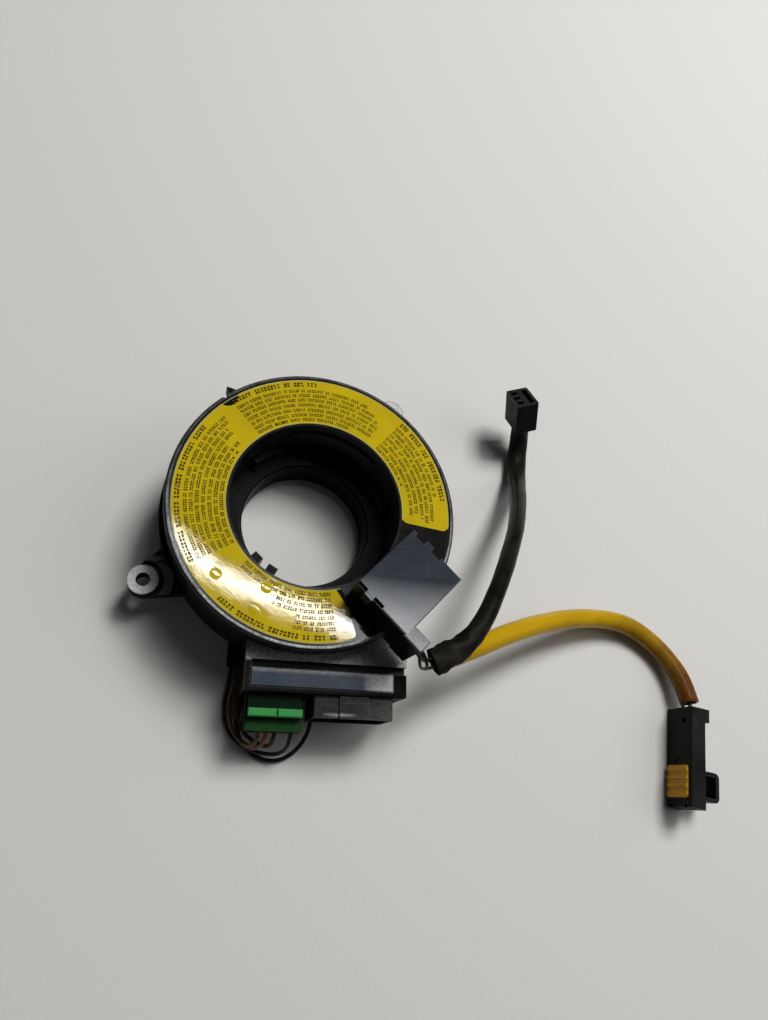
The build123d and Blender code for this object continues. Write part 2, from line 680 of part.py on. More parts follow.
def stator_case():
    """Drum and connector block, moulded in one, with the cable way between them."""
    chamber = Pos(0, 0, FLOOR_TOP) * extrude(Circle(WALL_IN), TOTAL_H)
    bore = Pos(0, 0, -1) * extrude(Circle(FLOOR_IN), TOTAL_H)
    sensor_room = Pos(0, 0, -1) * extrude(Circle(WALL_R), FLOOR_BOTTOM + 1)
    body = connector_block() - chamber - sensor_room + drum() - bore
    rim_room = ring(WALL_IN, RIM_R + 2 * RUN_GAP, WALL_TOP, TOTAL_H)
    way_y = (terminal_room(0)[3] - WALL_IN) / 2
    way_z = (FLOOR_TOP + TERMINAL_TOP) / 2
    way_h = TERMINAL_TOP - FLOOR_TOP - 2
    cable_way = Pos(CABLE_WAY_X, way_y, way_z) * Box(CABLE_WAY_L, 2 * TERMINAL_W, way_h)
    ground_x, ground_z = GROUND_WAY
    ground_drill = Rot(90, 0, 0) * Cylinder(WIRE_D / 2, 2 * PLUG_WAY_DEPTH)
    ground_way = Pos(ground_x, -BLOCK_FRONT, ground_z) * ground_drill
    return body - rim_room - cable_way - ground_way - column_pins() - sensor_pins()


def block_cover():
    """The snap cover on the block, with legs that go down into the block."""
    z1 = BLOCK_TOP + COVER_STEP
    plate = block(COVER_X0, COVER_X0 + COVER_L, COVER_Y0, COVER_Y1, z1 - COVER_T, z1)
    return chamfer(plate.faces().sort_by(Axis.Z)[-1].edges(), EDGE_CHAMFER)


def pin_row(x_first, count, pitch, z, y_front, y_back):
    """Square pins side by side, drawn towards the front."""
    row = Part()
    for i in range(count):
        x = x_first + i * pitch
        pin = block(x - PIN / 2, x + PIN / 2, y_front, y_back, z - PIN / 2, z + PIN / 2)
        tip = pin.faces().sort_by(Axis.Y)[0].edges()
        row += chamfer(tip, PIN / 4)
    return row


def column_pins():
    """Two rows of six pins in the column socket."""
    x0, x1, y0, y1, z0, z1 = column_socket_box()
    first = (x0 + x1) / 2 - (COLUMN_PINS - 1) * COLUMN_PITCH / 2
    low = (z0 + z1) / 2 - (COLUMN_ROWS - 1) * COLUMN_ROW_PITCH / 2
    rows = Part()
    for k in range(COLUMN_ROWS):
        z = low + k * COLUMN_ROW_PITCH
        rows += pin_row(first, COLUMN_PINS, COLUMN_PITCH, z, y1 - PIN_L, y1 + BLOCK_WALL + PIN_SEAT)
    return rows


def sensor_pins():
    """One row of five pins inside the sensor plug."""
    back = -BLOCK_FRONT + PLUG_NOSE + BLOCK_WALL
    front = -BLOCK_FRONT + 2 * PLUG_ROUND
    return pin_row(sensor_way_x(0), SENSOR_PINS, SENSOR_PITCH, PLUG_WIRE_Z, front, back + PIN_SEAT)


def terminal_block():
    """The moulded block behind the sockets, which carries both sets of pins."""
    return block(*terminal_room(SEAT_GAP)) - column_pins() - sensor_pins()


def sensor_way_x(i):
    """The place of one pin or wire across the sensor plug."""
    return PLUG_X0 + PLUG_L / 2 + (i - (SENSOR_PINS - 1) / 2) * SENSOR_PITCH


def sensor_plug():
    """The plug from the angle sensor: nose, stepped back and sloping wire ways."""
    x1 = PLUG_X0 + PLUG_L
    nose_y = -BLOCK_FRONT + PLUG_NOSE
    body = block(PLUG_X0, x1, PLUG_FRONT, nose_y, PLUG_BOTTOM, PLUG_TOP)
    body = fillet(body.edges().filter_by(Axis.Y), PLUG_ROUND)
    neck_y = -BLOCK_FRONT - 2 * SEAT_GAP
    x0 = PLUG_X0 + PLUG_ROUND
    body += block(x0, x1 - PLUG_ROUND, neck_y - PLUG_NECK_L, neck_y, PLUG_TOP - 1, PLUG_NECK_TOP)
    slope = Rot(90 + PLUG_WAY_TILT, 0, 0)
    for i in range(SENSOR_PINS):
        seat = Pos(sensor_way_x(i), PLUG_FRONT, PLUG_WIRE_Z)
        body -= seat * slope * Cylinder(WIRE_D / 2, 2 * PLUG_WAY_DEPTH)
    pocket_x = PLUG_X0 + PLUG_L / 2
    pocket_l = nose_y + BLOCK_FRONT - PLUG_ROUND
    pocket = Box(PLUG_L - 4 * PLUG_ROUND, pocket_l, 4 * PIN)
    return body - Pos(pocket_x, nose_y - pocket_l / 2, PLUG_WIRE_Z) * pocket


def plug_retainer():
    """The lighter locking bar on the sensor plug, with a slot at its middle."""
    x1 = PLUG_X0 + PLUG_L
    y1 = -BLOCK_FRONT - 3 * SEAT_GAP - PLUG_NECK_L
    z1 = PLUG_TOP + RETAINER_H
    bar = block(PLUG_X0 + RETAINER_IN, x1 - RETAINER_IN / 2, y1 - RETAINER_W, y1, PLUG_TOP, z1)
    bar = fillet(bar.edges().filter_by(Axis.X).sort_by(Axis.Z)[-2:], RETAINER_ROUND)
    middle = PLUG_X0 + PLUG_L * RETAINER_SLOT_AT
    slot = Pos(middle, y1 - RETAINER_W / 2, z1) * Box(RETAINER_SLOT, 2 * RETAINER_W, 2 * RETAINER_SLOT_H)
    return bar - slot


def outlet_way(i):
    """The place of one wire across the outlet, and its height."""
    return OUTLET_X + (i - (SENSOR_WIRES - 1) / 2) * OUTLET_PITCH, BASE_T + OUTLET_H / 2


def outlet():
    """The cable outlet beside the sensor's wall, with a blind way for each wire."""
    half = (SENSOR_WIRES - 1) / 2 * OUTLET_PITCH + WIRE_D / 2 + OUTLET_WALL
    spout = block(OUTLET_X - half, OUTLET_X + half, -OUTLET_END, -OUTLET_END / 2, BASE_T, BASE_T + OUTLET_H)
    spout -= Pos(0, 0, BASE_T) * Cylinder(CASE_R - CASE_WALL / 2, 4 * OUTLET_H)
    for i in range(SENSOR_WIRES):
        x, z = outlet_way(i)
        way = Pos(x, -OUTLET_END, z) * Rot(90, 0, 0) * Cylinder(WIRE_D / 2, 2 * OUTLET_DEPTH)
        spout -= way
    return spout


def sensor_case():
    """The angle sensor's upper shell: top plate, wall and cable outlet."""
    body = ring(CASE_IN, CASE_R, FLOOR_BOTTOM - CASE_TOP_T, FLOOR_BOTTOM)
    body += ring(CASE_WALL_IN, CASE_R, BASE_T, FLOOR_BOTTOM)
    return body + outlet()


def sensor_base():
    """The angle sensor's bottom plate, which the unit lies on."""
    inner = SLEEVE_OUT + RUN_GAP
    body = ring(inner, CASE_R, 0, BASE_T)
    body = chamfer(body.faces().sort_by(Axis.Z)[0].outer_wire().edges(), BASE_CHAMFER)
    outer = CASE_WALL_IN - SEAT_GAP
    return body + ring(outer - LOCATOR_T, outer, BASE_T, BASE_T + LOCATOR_H)


def sensor_board():
    """The sensor's circuit board, against the shell's top plate."""
    top = FLOOR_BOTTOM - CASE_TOP_T
    inner = FLANGE_R + BOARD_IN
    return sector(inner, CASE_WALL_IN - BOARD_OUT, top - BOARD_T, top, BOARD_START, BOARD_SPAN)


def photo_eyes():
    """Slotted light gates that the code disc runs through."""
    top = FLOOR_BOTTOM - CASE_TOP_T - BOARD_T
    low = BASE_T + SEAT_GAP
    u0 = CODE_DISC_R - EYE_OVER
    gate = block(u0, u0 + EYE_L, -EYE_W / 2, EYE_W / 2, low, top)
    z0 = CODE_DISC_Z + CODE_DISC_T / 2 - EYE_SLOT / 2
    gate -= block(u0 - 1, CODE_DISC_R + EYE_CLEAR, -EYE_W, EYE_W, z0, z0 + EYE_SLOT)
    return Part() + [at_angle(angle, gate) for angle in EYE_ANGLES]


def flat_cable():
    """The coiled flat cable: half circles about two centres, one pitch apart per turn."""
    step = CABLE_PITCH / 4
    outside = []
    inside = []
    for i in range(2 * CABLE_TURNS):
        radius = CABLE_IN_R + i * CABLE_PITCH / 2
        side = 1 if i % 2 == 0 else -1
        centre = -side * step
        for edge, r in ((inside, radius), (outside, radius + CABLE_T)):
            edge.append(CenterArc((centre, 0), r, 0 if side > 0 else 180, 180))
    first = Line(inside[0] @ 0, outside[0] @ 0)
    last = Line(inside[-1] @ 1, outside[-1] @ 1)
    band = make_face(inside + outside + [first, last])
    return Pos(0, 0, FLOOR_TOP + RUN_GAP) * extrude(band, CABLE_W)


# ------------------------------------------------------------------ leads and plugs
# Each route is a list of points chosen by hand, from the exit to the far end.
SWITCH_ROUTE = [
    (41.5, -54.5, 40.5), (52.4, -49.5, 39.3), (60.7, -40.0, 39.5), (67.3, -27.2, 39.0),
    (74.1, -12.7, 35.7), (82.2, 3.8, 28.4), (90.4, 21.4, 15.2), (95.6, 36.8, 4.1),
    (96.6, 47.1, 3.7), (96.0, 56.0, 9.0), (93.9, 59.0, 14.6),
]
AIRBAG_ROUTE = [
    (46.5, -52.5, 32.2), (61.5, -46.4, 30.1), (77.6, -39.0, 25.8), (98.1, -31.5, 18.8),
    (119.6, -26.4, 11.0), (139.6, -25.2, 5.8), (152.6, -30.2, 4.4), (162.6, -39.6, 4.8),
    (167.6, -49.8, 6.6), (168.2, -58.6, 8.0),
]
SWITCH_LEADS = [
    [(33.0, -49.5, 44.4), (36.4, -52.7, 44.4), (38.4, -54.4, 41.4), (40.92, -53.23, 41.1)],
    [(33.0, -49.5, 46.0), (36.8, -53.1, 46.0), (38.5, -56.0, 43.6), (39.4, -57.0, 40.9), (42.08, -55.77, 40.6)],
]
AIRBAG_LEADS = [
    [(33.0, -49.5, 41.2), (36.4, -52.7, 41.2), (39.4, -53.4, 36.4), (42.6, -52.9, 33.0), (46.0, -51.4, 32.4)],
    [(33.0, -49.5, 42.8), (36.2, -52.6, 42.4), (37.8, -56.4, 38.2), (42.2, -55.7, 33.2), (47.0, -53.6, 32.4)],
]
# The sensor's wires are drawn from the block's front wall, so they move with it.
SENSOR_ROUTES = {
    "sensor_wire_ground": [
        (-15.2, 14.2, 3.2), (-15.2, 6.8, 3.2), (-17.2, -0.4, 2.2), (-18.8, -7.6, 1.4),
        (-16.8, -14.7, 1.0), (-11.0, -19.6, 1.0), (-3.6, -21.0, 1.1), (3.0, -17.4, 2.2),
        (6.8, -11.2, 4.6), (7.4, -4.6, 6.7), (7.4, 2.0, 6.7),
    ],
    "sensor_wire_brown": [
        (-17.0, 14.2, 3.2), (-17.0, 7.2, 3.2), (-18.7, 0.6, 4.0), (-19.0, -6.0, 4.4),
        (-16.6, -11.6, 5.8), (-12.2, -15.0, 8.0), (-8.4, -16.7, 10.6), (-6.7, -14.93, 13.85),
        (-6.7, -10.17, 16.6),
    ],
    "sensor_wire_orange": [
        (-18.8, 14.2, 3.2), (-18.8, 7.6, 3.2), (-20.2, 1.0, 2.6), (-20.6, -5.4, 2.8),
        (-19.2, -11.6, 3.6), (-15.9, -15.7, 5.4), (-12.2, -17.2, 8.4), (-9.5, -14.93, 13.85),
        (-9.5, -10.17, 16.6),
    ],
    "sensor_wire_yellow": [
        (-20.6, 14.2, 3.2), (-20.6, 8.0, 3.2), (-21.9, 1.6, 4.0), (-22.2, -4.8, 4.4),
        (-20.7, -10.4, 5.4), (-17.8, -14.2, 7.0), (-14.0, -16.6, 9.6), (-12.3, -14.93, 13.85),
        (-12.3, -10.17, 16.6),
    ],
    "sensor_wire_black": [
        (-22.4, 14.2, 3.2), (-22.4, 6.8, 3.2), (-23.6, -0.6, 2.0), (-23.0, -7.8, 1.5),
        (-19.4, -14.0, 2.4), (-13.4, -17.2, 3.4), (-7.2, -18.8, 5.0), (-2.4, -18.2, 8.6),
        (-1.1, -14.93, 13.85), (-1.1, -10.17, 16.6),
    ],
}


def switch_frame():
    """Where the switch plug stands: at the end of its sleeve, turned about it."""
    end = Vector(*SWITCH_ROUTE[-1])
    axis = end - Vector(*SWITCH_ROUTE[-2])
    across = Vector(*polar(1, SWITCH_TURN), 0)
    return Plane(origin=end, x_dir=across - axis * (across.dot(axis) / axis.dot(axis)), z_dir=axis)


def switch_way_places():
    """Places of the plug's ways along its long side."""
    return [(i - (SWITCH_WAYS - 1) / 2) * SWITCH_PITCH for i in range(SWITCH_WAYS)]


def switch_plug():
    """The three-way plug of the switch leads, mouth upwards, with its keyway."""
    body = Pos(0, 0, SWITCH_H / 2) * Box(SWITCH_A, SWITCH_B, SWITCH_H)
    body = fillet(body.edges().filter_by(Axis.Z), SWITCH_ROUND)
    for x in switch_way_places():
        body -= Pos(x, -SWITCH_B / 4, SWITCH_H) * Box(SWITCH_WAY, SWITCH_WAY_W, 2 * SWITCH_WAY_DEPTH)
    key_l = SWITCH_A - 2 * SWITCH_KEY_WALL
    key = Pos(0, SWITCH_B / 4, SWITCH_H) * Box(key_l, SWITCH_KEY_W, 2 * SWITCH_KEY_DEPTH)
    return switch_frame() * (body - key)


def switch_terminals():
    """Three box terminals down in the plug's ways."""
    length = SWITCH_WAY_DEPTH * TERMINAL_SHARE
    z = SWITCH_H - SWITCH_WAY_DEPTH + length / 2
    width = SWITCH_WAY - 2 * SEAT_GAP
    depth = SWITCH_WAY_W - 2 * SEAT_GAP
    shell = Box(width, depth, length) - Box(width - TERMINAL_T, depth - TERMINAL_T, 2 * length)
    group = Part() + [Pos(x, -SWITCH_B / 4, z) * shell for x in switch_way_places()]
    return switch_frame() * group


def airbag_place(shape):
    """Puts a shape drawn with +X along the airbag plug in its place on the floor."""
    return Pos(AIRBAG_START[0], AIRBAG_START[1], 0) * Rot(0, 0, AIRBAG_TURN) * shape


def lock_stem(clear):
    """The lock's stem through the plug, with some clearance round it."""
    x = LOCK_AT + LOCK_L / 2
    z = AIRBAG_H / 2
    half = AIRBAG_W / 2
    return block(
        x - LOCK_STEM_L / 2 - clear,
        x + LOCK_STEM_L / 2 + clear,
        -half,
        half + LOCK_NUB,
        z - LOCK_STEM_H / 2 - clear,
        z + LOCK_STEM_H / 2 + clear,
    )


def airbag_way_heights():
    """Heights of the plug's two ways, one over the other."""
    return AIRBAG_H / 2 - AIRBAG_WAY_PITCH / 2, AIRBAG_H / 2 + AIRBAG_WAY_PITCH / 2


def airbag_plug():
    """The airbag plug: body, rear flange, latch loop and the lock's opening."""
    half = AIRBAG_W / 2
    body = block(0, AIRBAG_L, -half, half, 0, AIRBAG_H)
    body = fillet(body.edges().filter_by(Axis.X), AIRBAG_ROUND)
    body += block(0, AIRBAG_FLANGE_L, half - 1, half + AIRBAG_FLANGE, AIRBAG_FLANGE_Z, AIRBAG_H)
    x0 = AIRBAG_LOOP_AT - AIRBAG_LOOP_ARM
    x1 = AIRBAG_LOOP_AT + AIRBAG_LOOP_L
    y1 = half + AIRBAG_LOOP_REACH
    loop = block(x0, x1, half - 1, y1, AIRBAG_LOOP_Z, AIRBAG_LOOP_Z + AIRBAG_LOOP_H)
    loop = fillet(loop.edges().filter_by(Axis.Z).sort_by(Axis.Y)[-2:], AIRBAG_LOOP_ROUND)
    x0 += AIRBAG_LOOP_WALL
    x1 -= AIRBAG_LOOP_WALL
    body += loop - block(x0, x1, half, y1 - AIRBAG_LOOP_END, 0, AIRBAG_H)
    for z in airbag_way_heights():
        body -= Pos(AIRBAG_L, 0, z) * Box(2 * AIRBAG_WAY_DEPTH, AIRBAG_WAY, AIRBAG_WAY_H)
    notch_x, notch_l, notch_w = AIRBAG_NOTCH
    body -= Pos(notch_x, -half, AIRBAG_H * AIRBAG_NOTCH_UP) * Box(notch_l, notch_w, notch_l)
    x0 = LOCK_AT - LOCK_CLEAR
    x1 = LOCK_AT + LOCK_L + LOCK_CLEAR
    z0 = (AIRBAG_H - LOCK_H) / 2 - LOCK_CLEAR
    body -= block(x0, x1, -half - 1, -half + LOCK_SUNK, z0, AIRBAG_H - z0)
    body -= Pos(x0, -half, AIRBAG_H / 2) * Rot(90, 0, 0) * Cylinder(LOCK_THUMB_R, LOCK_SUNK)
    for z in (AIRBAG_EAR_Z, AIRBAG_H - AIRBAG_EAR_Z):
        body -= Pos(AIRBAG_L, -half, z) * Box(AIRBAG_EAR_L, AIRBAG_EAR_L, AIRBAG_EAR_H)
    return airbag_place(body - lock_stem(RUN_GAP))


def airbag_terminals():
    """Two box terminals in the airbag plug's ways."""
    length = AIRBAG_WAY_DEPTH * TERMINAL_SHARE
    x = AIRBAG_L - AIRBAG_WAY_DEPTH + length / 2
    width = AIRBAG_WAY - 2 * SEAT_GAP
    height = AIRBAG_WAY_H - 2 * SEAT_GAP
    shell = Box(length, width, height) - Box(2 * length, width - TERMINAL_T, height - TERMINAL_T)
    group = Part() + [Pos(x, 0, z) * shell for z in airbag_way_heights()]
    return airbag_place(group)


def airbag_lock():
    """The yellow lock: a ribbed plate with a stem through to the latch loop."""
    half = AIRBAG_W / 2
    z0 = (AIRBAG_H - LOCK_H) / 2
    inner = -half + LOCK_SUNK - SEAT_GAP
    plate = block(LOCK_AT, LOCK_AT + LOCK_L, inner - LOCK_T, inner, z0, z0 + LOCK_H)
    plate = fillet(plate.edges().filter_by(Axis.Y), LOCK_ROUND)
    pitch = LOCK_L / (LOCK_RIBS + 1)
    for i in range(LOCK_RIBS):
        x = LOCK_AT + (i + 1) * pitch
        plate -= Pos(x, inner - LOCK_T, AIRBAG_H / 2) * Box(pitch / 2, 2 * LOCK_RIB_DEPTH, 2 * LOCK_H)
    return airbag_place(plate + lock_stem(0))


def airbag_lead(side):
    """One short lead between the yellow tube and the airbag plug, on one side."""
    reach = (Vector(*AIRBAG_ROUTE[-1][:2]) - Vector(*AIRBAG_START)).length + TUBE_D / 2
    rod = Rot(0, 90, 0) * Cylinder(WIRE_D / 2, reach)
    return airbag_place(Pos(-reach / 2, side * AIRBAG_LEAD_PITCH / 2, AIRBAG_LEAD_Z) * rod)


def leads(routes, name):
    """Thin leads from the tower's chute into a sleeve or tube."""
    return Part() + [tube(route, LEAD_D, name) for route in routes]


# --------------------------------------------------------------------------- build
def write(name, shape):
    """Writes one sub-part."""
    export_step(shape, f"parts/{name}.step")


write("stator_case", stator_case())
write("block_cover", block_cover())
write("terminal_block", terminal_block())
write("column_pins", column_pins())
write("sensor_pins", sensor_pins())
write("sensor_plug", sensor_plug())
write("plug_retainer", plug_retainer())
write("sensor_case", sensor_case())
write("sensor_base", sensor_base())
write("sensor_board", sensor_board())
write("photo_eyes", photo_eyes())
write("flat_cable", flat_cable())
write("rotor", rotor())
write("label", label())
write("tower_lid", tower_lid())
write("busbar_carrier", busbar_carrier())
write("busbars", busbars())
write("lower_sleeve", lower_sleeve())
write("code_disc", code_disc())
switch_sleeve = tube(SWITCH_ROUTE, SLEEVE_D, "switch_sleeve")
write("switch_sleeve", switch_sleeve)
write("switch_leads", leads(SWITCH_LEADS, "switch_leads") - switch_sleeve)
write("switch_plug", switch_plug())
write("switch_terminals", switch_terminals())
airbag_tube = tube(AIRBAG_ROUTE, TUBE_D, "airbag_tube")
write("airbag_tube", airbag_tube)
write("airbag_leads", leads(AIRBAG_LEADS, "airbag_leads") - airbag_tube)
write("airbag_lead_black", airbag_lead(-1) - airbag_tube)
write("airbag_lead_yellow", airbag_lead(1) - airbag_tube)
write("airbag_plug", airbag_plug())
write("airbag_terminals", airbag_terminals())
write("airbag_lock", airbag_lock())
for wire_name, route in SENSOR_ROUTES.items():
    write(wire_name, Pos(0, -BLOCK_FRONT, 0) * tube(route, WIRE_D, wire_name))
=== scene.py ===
# %% [markdown]
# # A steering clock spring, dressed in Blender
# A clock spring sits behind a steering wheel and carries the wheel's wires through its turns.
# A drum stands still on the column, and a rotor with a printed yellow label turns in it.
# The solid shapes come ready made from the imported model. This lesson adds the finishes,
# the soft leads, the print on the label, a floor, lamps and a camera.

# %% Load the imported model
import math
import bpy
import numpy as np
from mathutils import Matrix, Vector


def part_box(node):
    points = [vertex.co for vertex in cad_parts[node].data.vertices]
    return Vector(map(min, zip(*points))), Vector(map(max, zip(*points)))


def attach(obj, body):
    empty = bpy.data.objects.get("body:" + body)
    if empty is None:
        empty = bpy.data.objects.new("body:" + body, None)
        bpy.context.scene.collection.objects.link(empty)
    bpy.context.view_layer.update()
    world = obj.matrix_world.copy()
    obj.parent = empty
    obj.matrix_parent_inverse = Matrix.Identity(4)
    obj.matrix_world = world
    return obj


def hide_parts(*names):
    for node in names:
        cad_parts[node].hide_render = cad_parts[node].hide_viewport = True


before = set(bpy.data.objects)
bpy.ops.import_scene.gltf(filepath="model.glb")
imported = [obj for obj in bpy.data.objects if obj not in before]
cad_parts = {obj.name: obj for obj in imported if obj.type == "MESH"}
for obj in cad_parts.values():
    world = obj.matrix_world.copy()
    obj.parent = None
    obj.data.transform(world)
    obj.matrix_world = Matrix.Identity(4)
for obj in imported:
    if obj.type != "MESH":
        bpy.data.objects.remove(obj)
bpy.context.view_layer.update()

# %% [markdown]
# ## The camera
# The camera looks down steeply from just above the unit's front edge, as a person does who
# holds it over a bench. It is close, so near things look larger than far ones, and that needs
# a short lens. Its three axes are written as the columns of a turn matrix.

# %% Place the camera
CAMERA_PLACE = (-0.04125, -0.09590, 0.26823)
CAMERA_RIGHT = (0.95997, 0.01497, 0.27968)
CAMERA_UP = (-0.11710, 0.92855, 0.35226)
CAMERA_BACK = (-0.25443, -0.37091, 0.89314)
LENS_MM = 25.06

camera_data = bpy.data.cameras.new("bench_camera")
camera_data.lens = LENS_MM
camera_data.sensor_width = 36.0
camera_data.clip_start = 0.01
camera = bpy.data.objects.new("bench_camera", camera_data)
turn = Matrix((CAMERA_RIGHT, CAMERA_UP, CAMERA_BACK)).transposed().to_4x4()
camera.matrix_world = Matrix.Translation(CAMERA_PLACE) @ turn
bpy.context.scene.collection.objects.link(camera)
bpy.context.scene.camera = camera
print("camera height:", CAMERA_PLACE[2])

# %% [markdown]
# ## Leads first: where each cord runs
# Seven soft leads belong to the unit. The black sleeve carries the wheel's switch wires and
# the yellow tube the airbag's; both leave the tower's chute and lie down on the bench. Five
# thin wires loop from the sensor under the drum into the green plug. A cord is one smooth
# line, so each route is a handful of points that pull a NURBS curve, not the curve itself.

# %% Routes of the leads, in metres
SWITCH_ROUTE = [
    (0.0415, -0.0545, 0.0405), (0.0524, -0.0495, 0.0393), (0.0607, -0.0400, 0.0395),
    (0.0673, -0.0272, 0.0390), (0.0741, -0.0127, 0.0357), (0.0822, 0.0038, 0.0284),
    (0.0904, 0.0214, 0.0152), (0.0956, 0.0368, 0.0041), (0.0966, 0.0471, 0.0037),
    (0.0960, 0.0560, 0.0090), (0.0939, 0.0590, 0.0146),
]
AIRBAG_ROUTE = [
    (0.0465, -0.0525, 0.0322), (0.0615, -0.0464, 0.0301), (0.0776, -0.0390, 0.0258),
    (0.0981, -0.0315, 0.0188), (0.1196, -0.0264, 0.0110), (0.1396, -0.0252, 0.0058),
    (0.1526, -0.0302, 0.0044), (0.1626, -0.0396, 0.0048), (0.1676, -0.0498, 0.0066),
    (0.1682, -0.0586, 0.0080),
]
SENSOR_ROUTES = {
    "ground": [
        (-0.0152, -0.0510, 0.0032), (-0.0152, -0.0584, 0.0032), (-0.0172, -0.0656, 0.0022),
        (-0.0188, -0.0728, 0.0014), (-0.0168, -0.0799, 0.0010), (-0.0110, -0.0848, 0.0010),
        (-0.0036, -0.0862, 0.0011), (0.0030, -0.0826, 0.0022), (0.0068, -0.0764, 0.0046),
        (0.0074, -0.0698, 0.0067), (0.0074, -0.0632, 0.0067),
    ],
    "brown": [
        (-0.0170, -0.0510, 0.0032), (-0.0170, -0.0580, 0.0032), (-0.0187, -0.0646, 0.0040),
        (-0.0190, -0.0712, 0.0044), (-0.0166, -0.0768, 0.0058), (-0.0122, -0.0802, 0.0080),
        (-0.0084, -0.0819, 0.0106), (-0.0067, -0.08013, 0.01385), (-0.0067, -0.07537, 0.0166),
    ],
    "orange": [
        (-0.0188, -0.0510, 0.0032), (-0.0188, -0.0576, 0.0032), (-0.0202, -0.0642, 0.0026),
        (-0.0206, -0.0706, 0.0028), (-0.0192, -0.0768, 0.0036), (-0.0159, -0.0809, 0.0054),
        (-0.0122, -0.0824, 0.0084), (-0.0095, -0.08013, 0.01385), (-0.0095, -0.07537, 0.0166),
    ],
    "yellow": [
        (-0.0206, -0.0510, 0.0032), (-0.0206, -0.0572, 0.0032), (-0.0219, -0.0636, 0.0040),
        (-0.0222, -0.0700, 0.0044), (-0.0207, -0.0756, 0.0054), (-0.0178, -0.0794, 0.0070),
        (-0.0140, -0.0818, 0.0096), (-0.0123, -0.08013, 0.01385), (-0.0123, -0.07537, 0.0166),
    ],
    "black": [
        (-0.0224, -0.0510, 0.0032), (-0.0224, -0.0584, 0.0032), (-0.0236, -0.0658, 0.0020),
        (-0.0230, -0.0730, 0.0015), (-0.0194, -0.0792, 0.0024), (-0.0134, -0.0824, 0.0034),
        (-0.0072, -0.0840, 0.0050), (-0.0024, -0.0834, 0.0086), (-0.0011, -0.08013, 0.01385),
        (-0.0011, -0.07537, 0.0166),
    ],
}
SLEEVE_DIAMETER = 0.0066
TUBE_DIAMETER = 0.0078
WIRE_DIAMETER = 0.0015
SLEEVE_ROW = 0.0009      # from one row of a skin to the next
TUBE_ROW = 0.0012
WIRE_ROW = 0.0008
FEWEST_ROWS = 8


def spline_curve(name, route):
    """A curve object with one open NURBS spline of order 3 through the route's pull."""
    data = bpy.data.curves.new(name, "CURVE")
    data.dimensions = "3D"
    data.resolution_u = 24
    spline = data.splines.new("NURBS")
    spline.points.add(len(route) - 1)
    for point, place in zip(spline.points, route):
        point.co = (*place, 1.0)
    spline.order_u = 3
    spline.use_endpoint_u = True
    curve = bpy.data.objects.new(name, data)
    bpy.context.scene.collection.objects.link(curve)
    return curve


def line_of(route):
    """The smooth line that the route's spline draws, as an array of points."""
    curve = spline_curve("line_reader", route)
    bpy.context.view_layer.update()
    mesh = bpy.data.meshes.new_from_object(curve)
    line = np.empty(len(mesh.vertices) * 3)
    mesh.vertices.foreach_get("co", line)
    bpy.data.objects.remove(curve)
    bpy.data.meshes.remove(mesh)
    return line.reshape(-1, 3)


def spaced(line, step):
    """The same line with points evenly spaced along it: each coordinate against arc length."""
    run = np.linalg.norm(np.diff(line, axis=0), axis=1)
    walked = np.concatenate([[0.0], np.cumsum(run)])
    even = np.linspace(0.0, walked[-1], max(FEWEST_ROWS, int(walked[-1] / step)))
    return np.stack([np.interp(even, walked, line[:, k]) for k in range(3)], axis=1), walked[-1]


sleeve_line, sleeve_length = spaced(line_of(SWITCH_ROUTE), SLEEVE_ROW)
tube_line, tube_length = spaced(line_of(AIRBAG_ROUTE), TUBE_ROW)
print("sleeve", round(sleeve_length, 4), "tube", round(tube_length, 4))

# %% [markdown]
# ## Leads: a skin round a line
# A tube's skin is a grid of two parameters: how far along the line, and the angle round it.
# Real sleeves aren't perfect: the cloth one is pressed flat where it leaves the chute, has
# soft folds there and widens towards its plug, and vinyl bulges a little. So the radius is a
# function of both parameters. The mouth is turned in over the edge and closed deep inside, as
# an open end looks.

# %% Skins of the two large leads
SIDES = 48
MOUTH_DEPTH = 0.75       # how far a mouth is closed inside, as a share of the diameter
MOUTH_WIDTHS = np.array([0.02, 0.62, 0.70, 0.78, 0.88, 0.96])    # each row's share of the radius
MOUTH_DEPTHS = np.array([1.0, 1.0, 0.24, 0.06, 0.0, 0.0])        # and of the mouth's depth
PRESSED_AT, PRESSED_REACH = 0.003, 0.017         # places along the sleeve and the tube
SPREAD_FROM, SPREAD_REACH = 0.070, 0.045
OVAL_AT, OVAL_REACH = 0.125, 0.02


def tube_frames(line):
    """At each point of a line: the level direction across it, and the one square to both."""
    ahead = np.gradient(line, axis=0)
    ahead /= np.linalg.norm(ahead, axis=1, keepdims=True)
    across = np.cross(ahead, (0.0, 0.0, 1.0))
    across /= np.linalg.norm(across, axis=1, keepdims=True)
    return across, np.cross(across, ahead)


def shade_smooth(mesh):
    """Makes a mesh look round between its faces."""
    mesh.polygons.foreach_set("use_smooth", np.ones(len(mesh.polygons), bool))


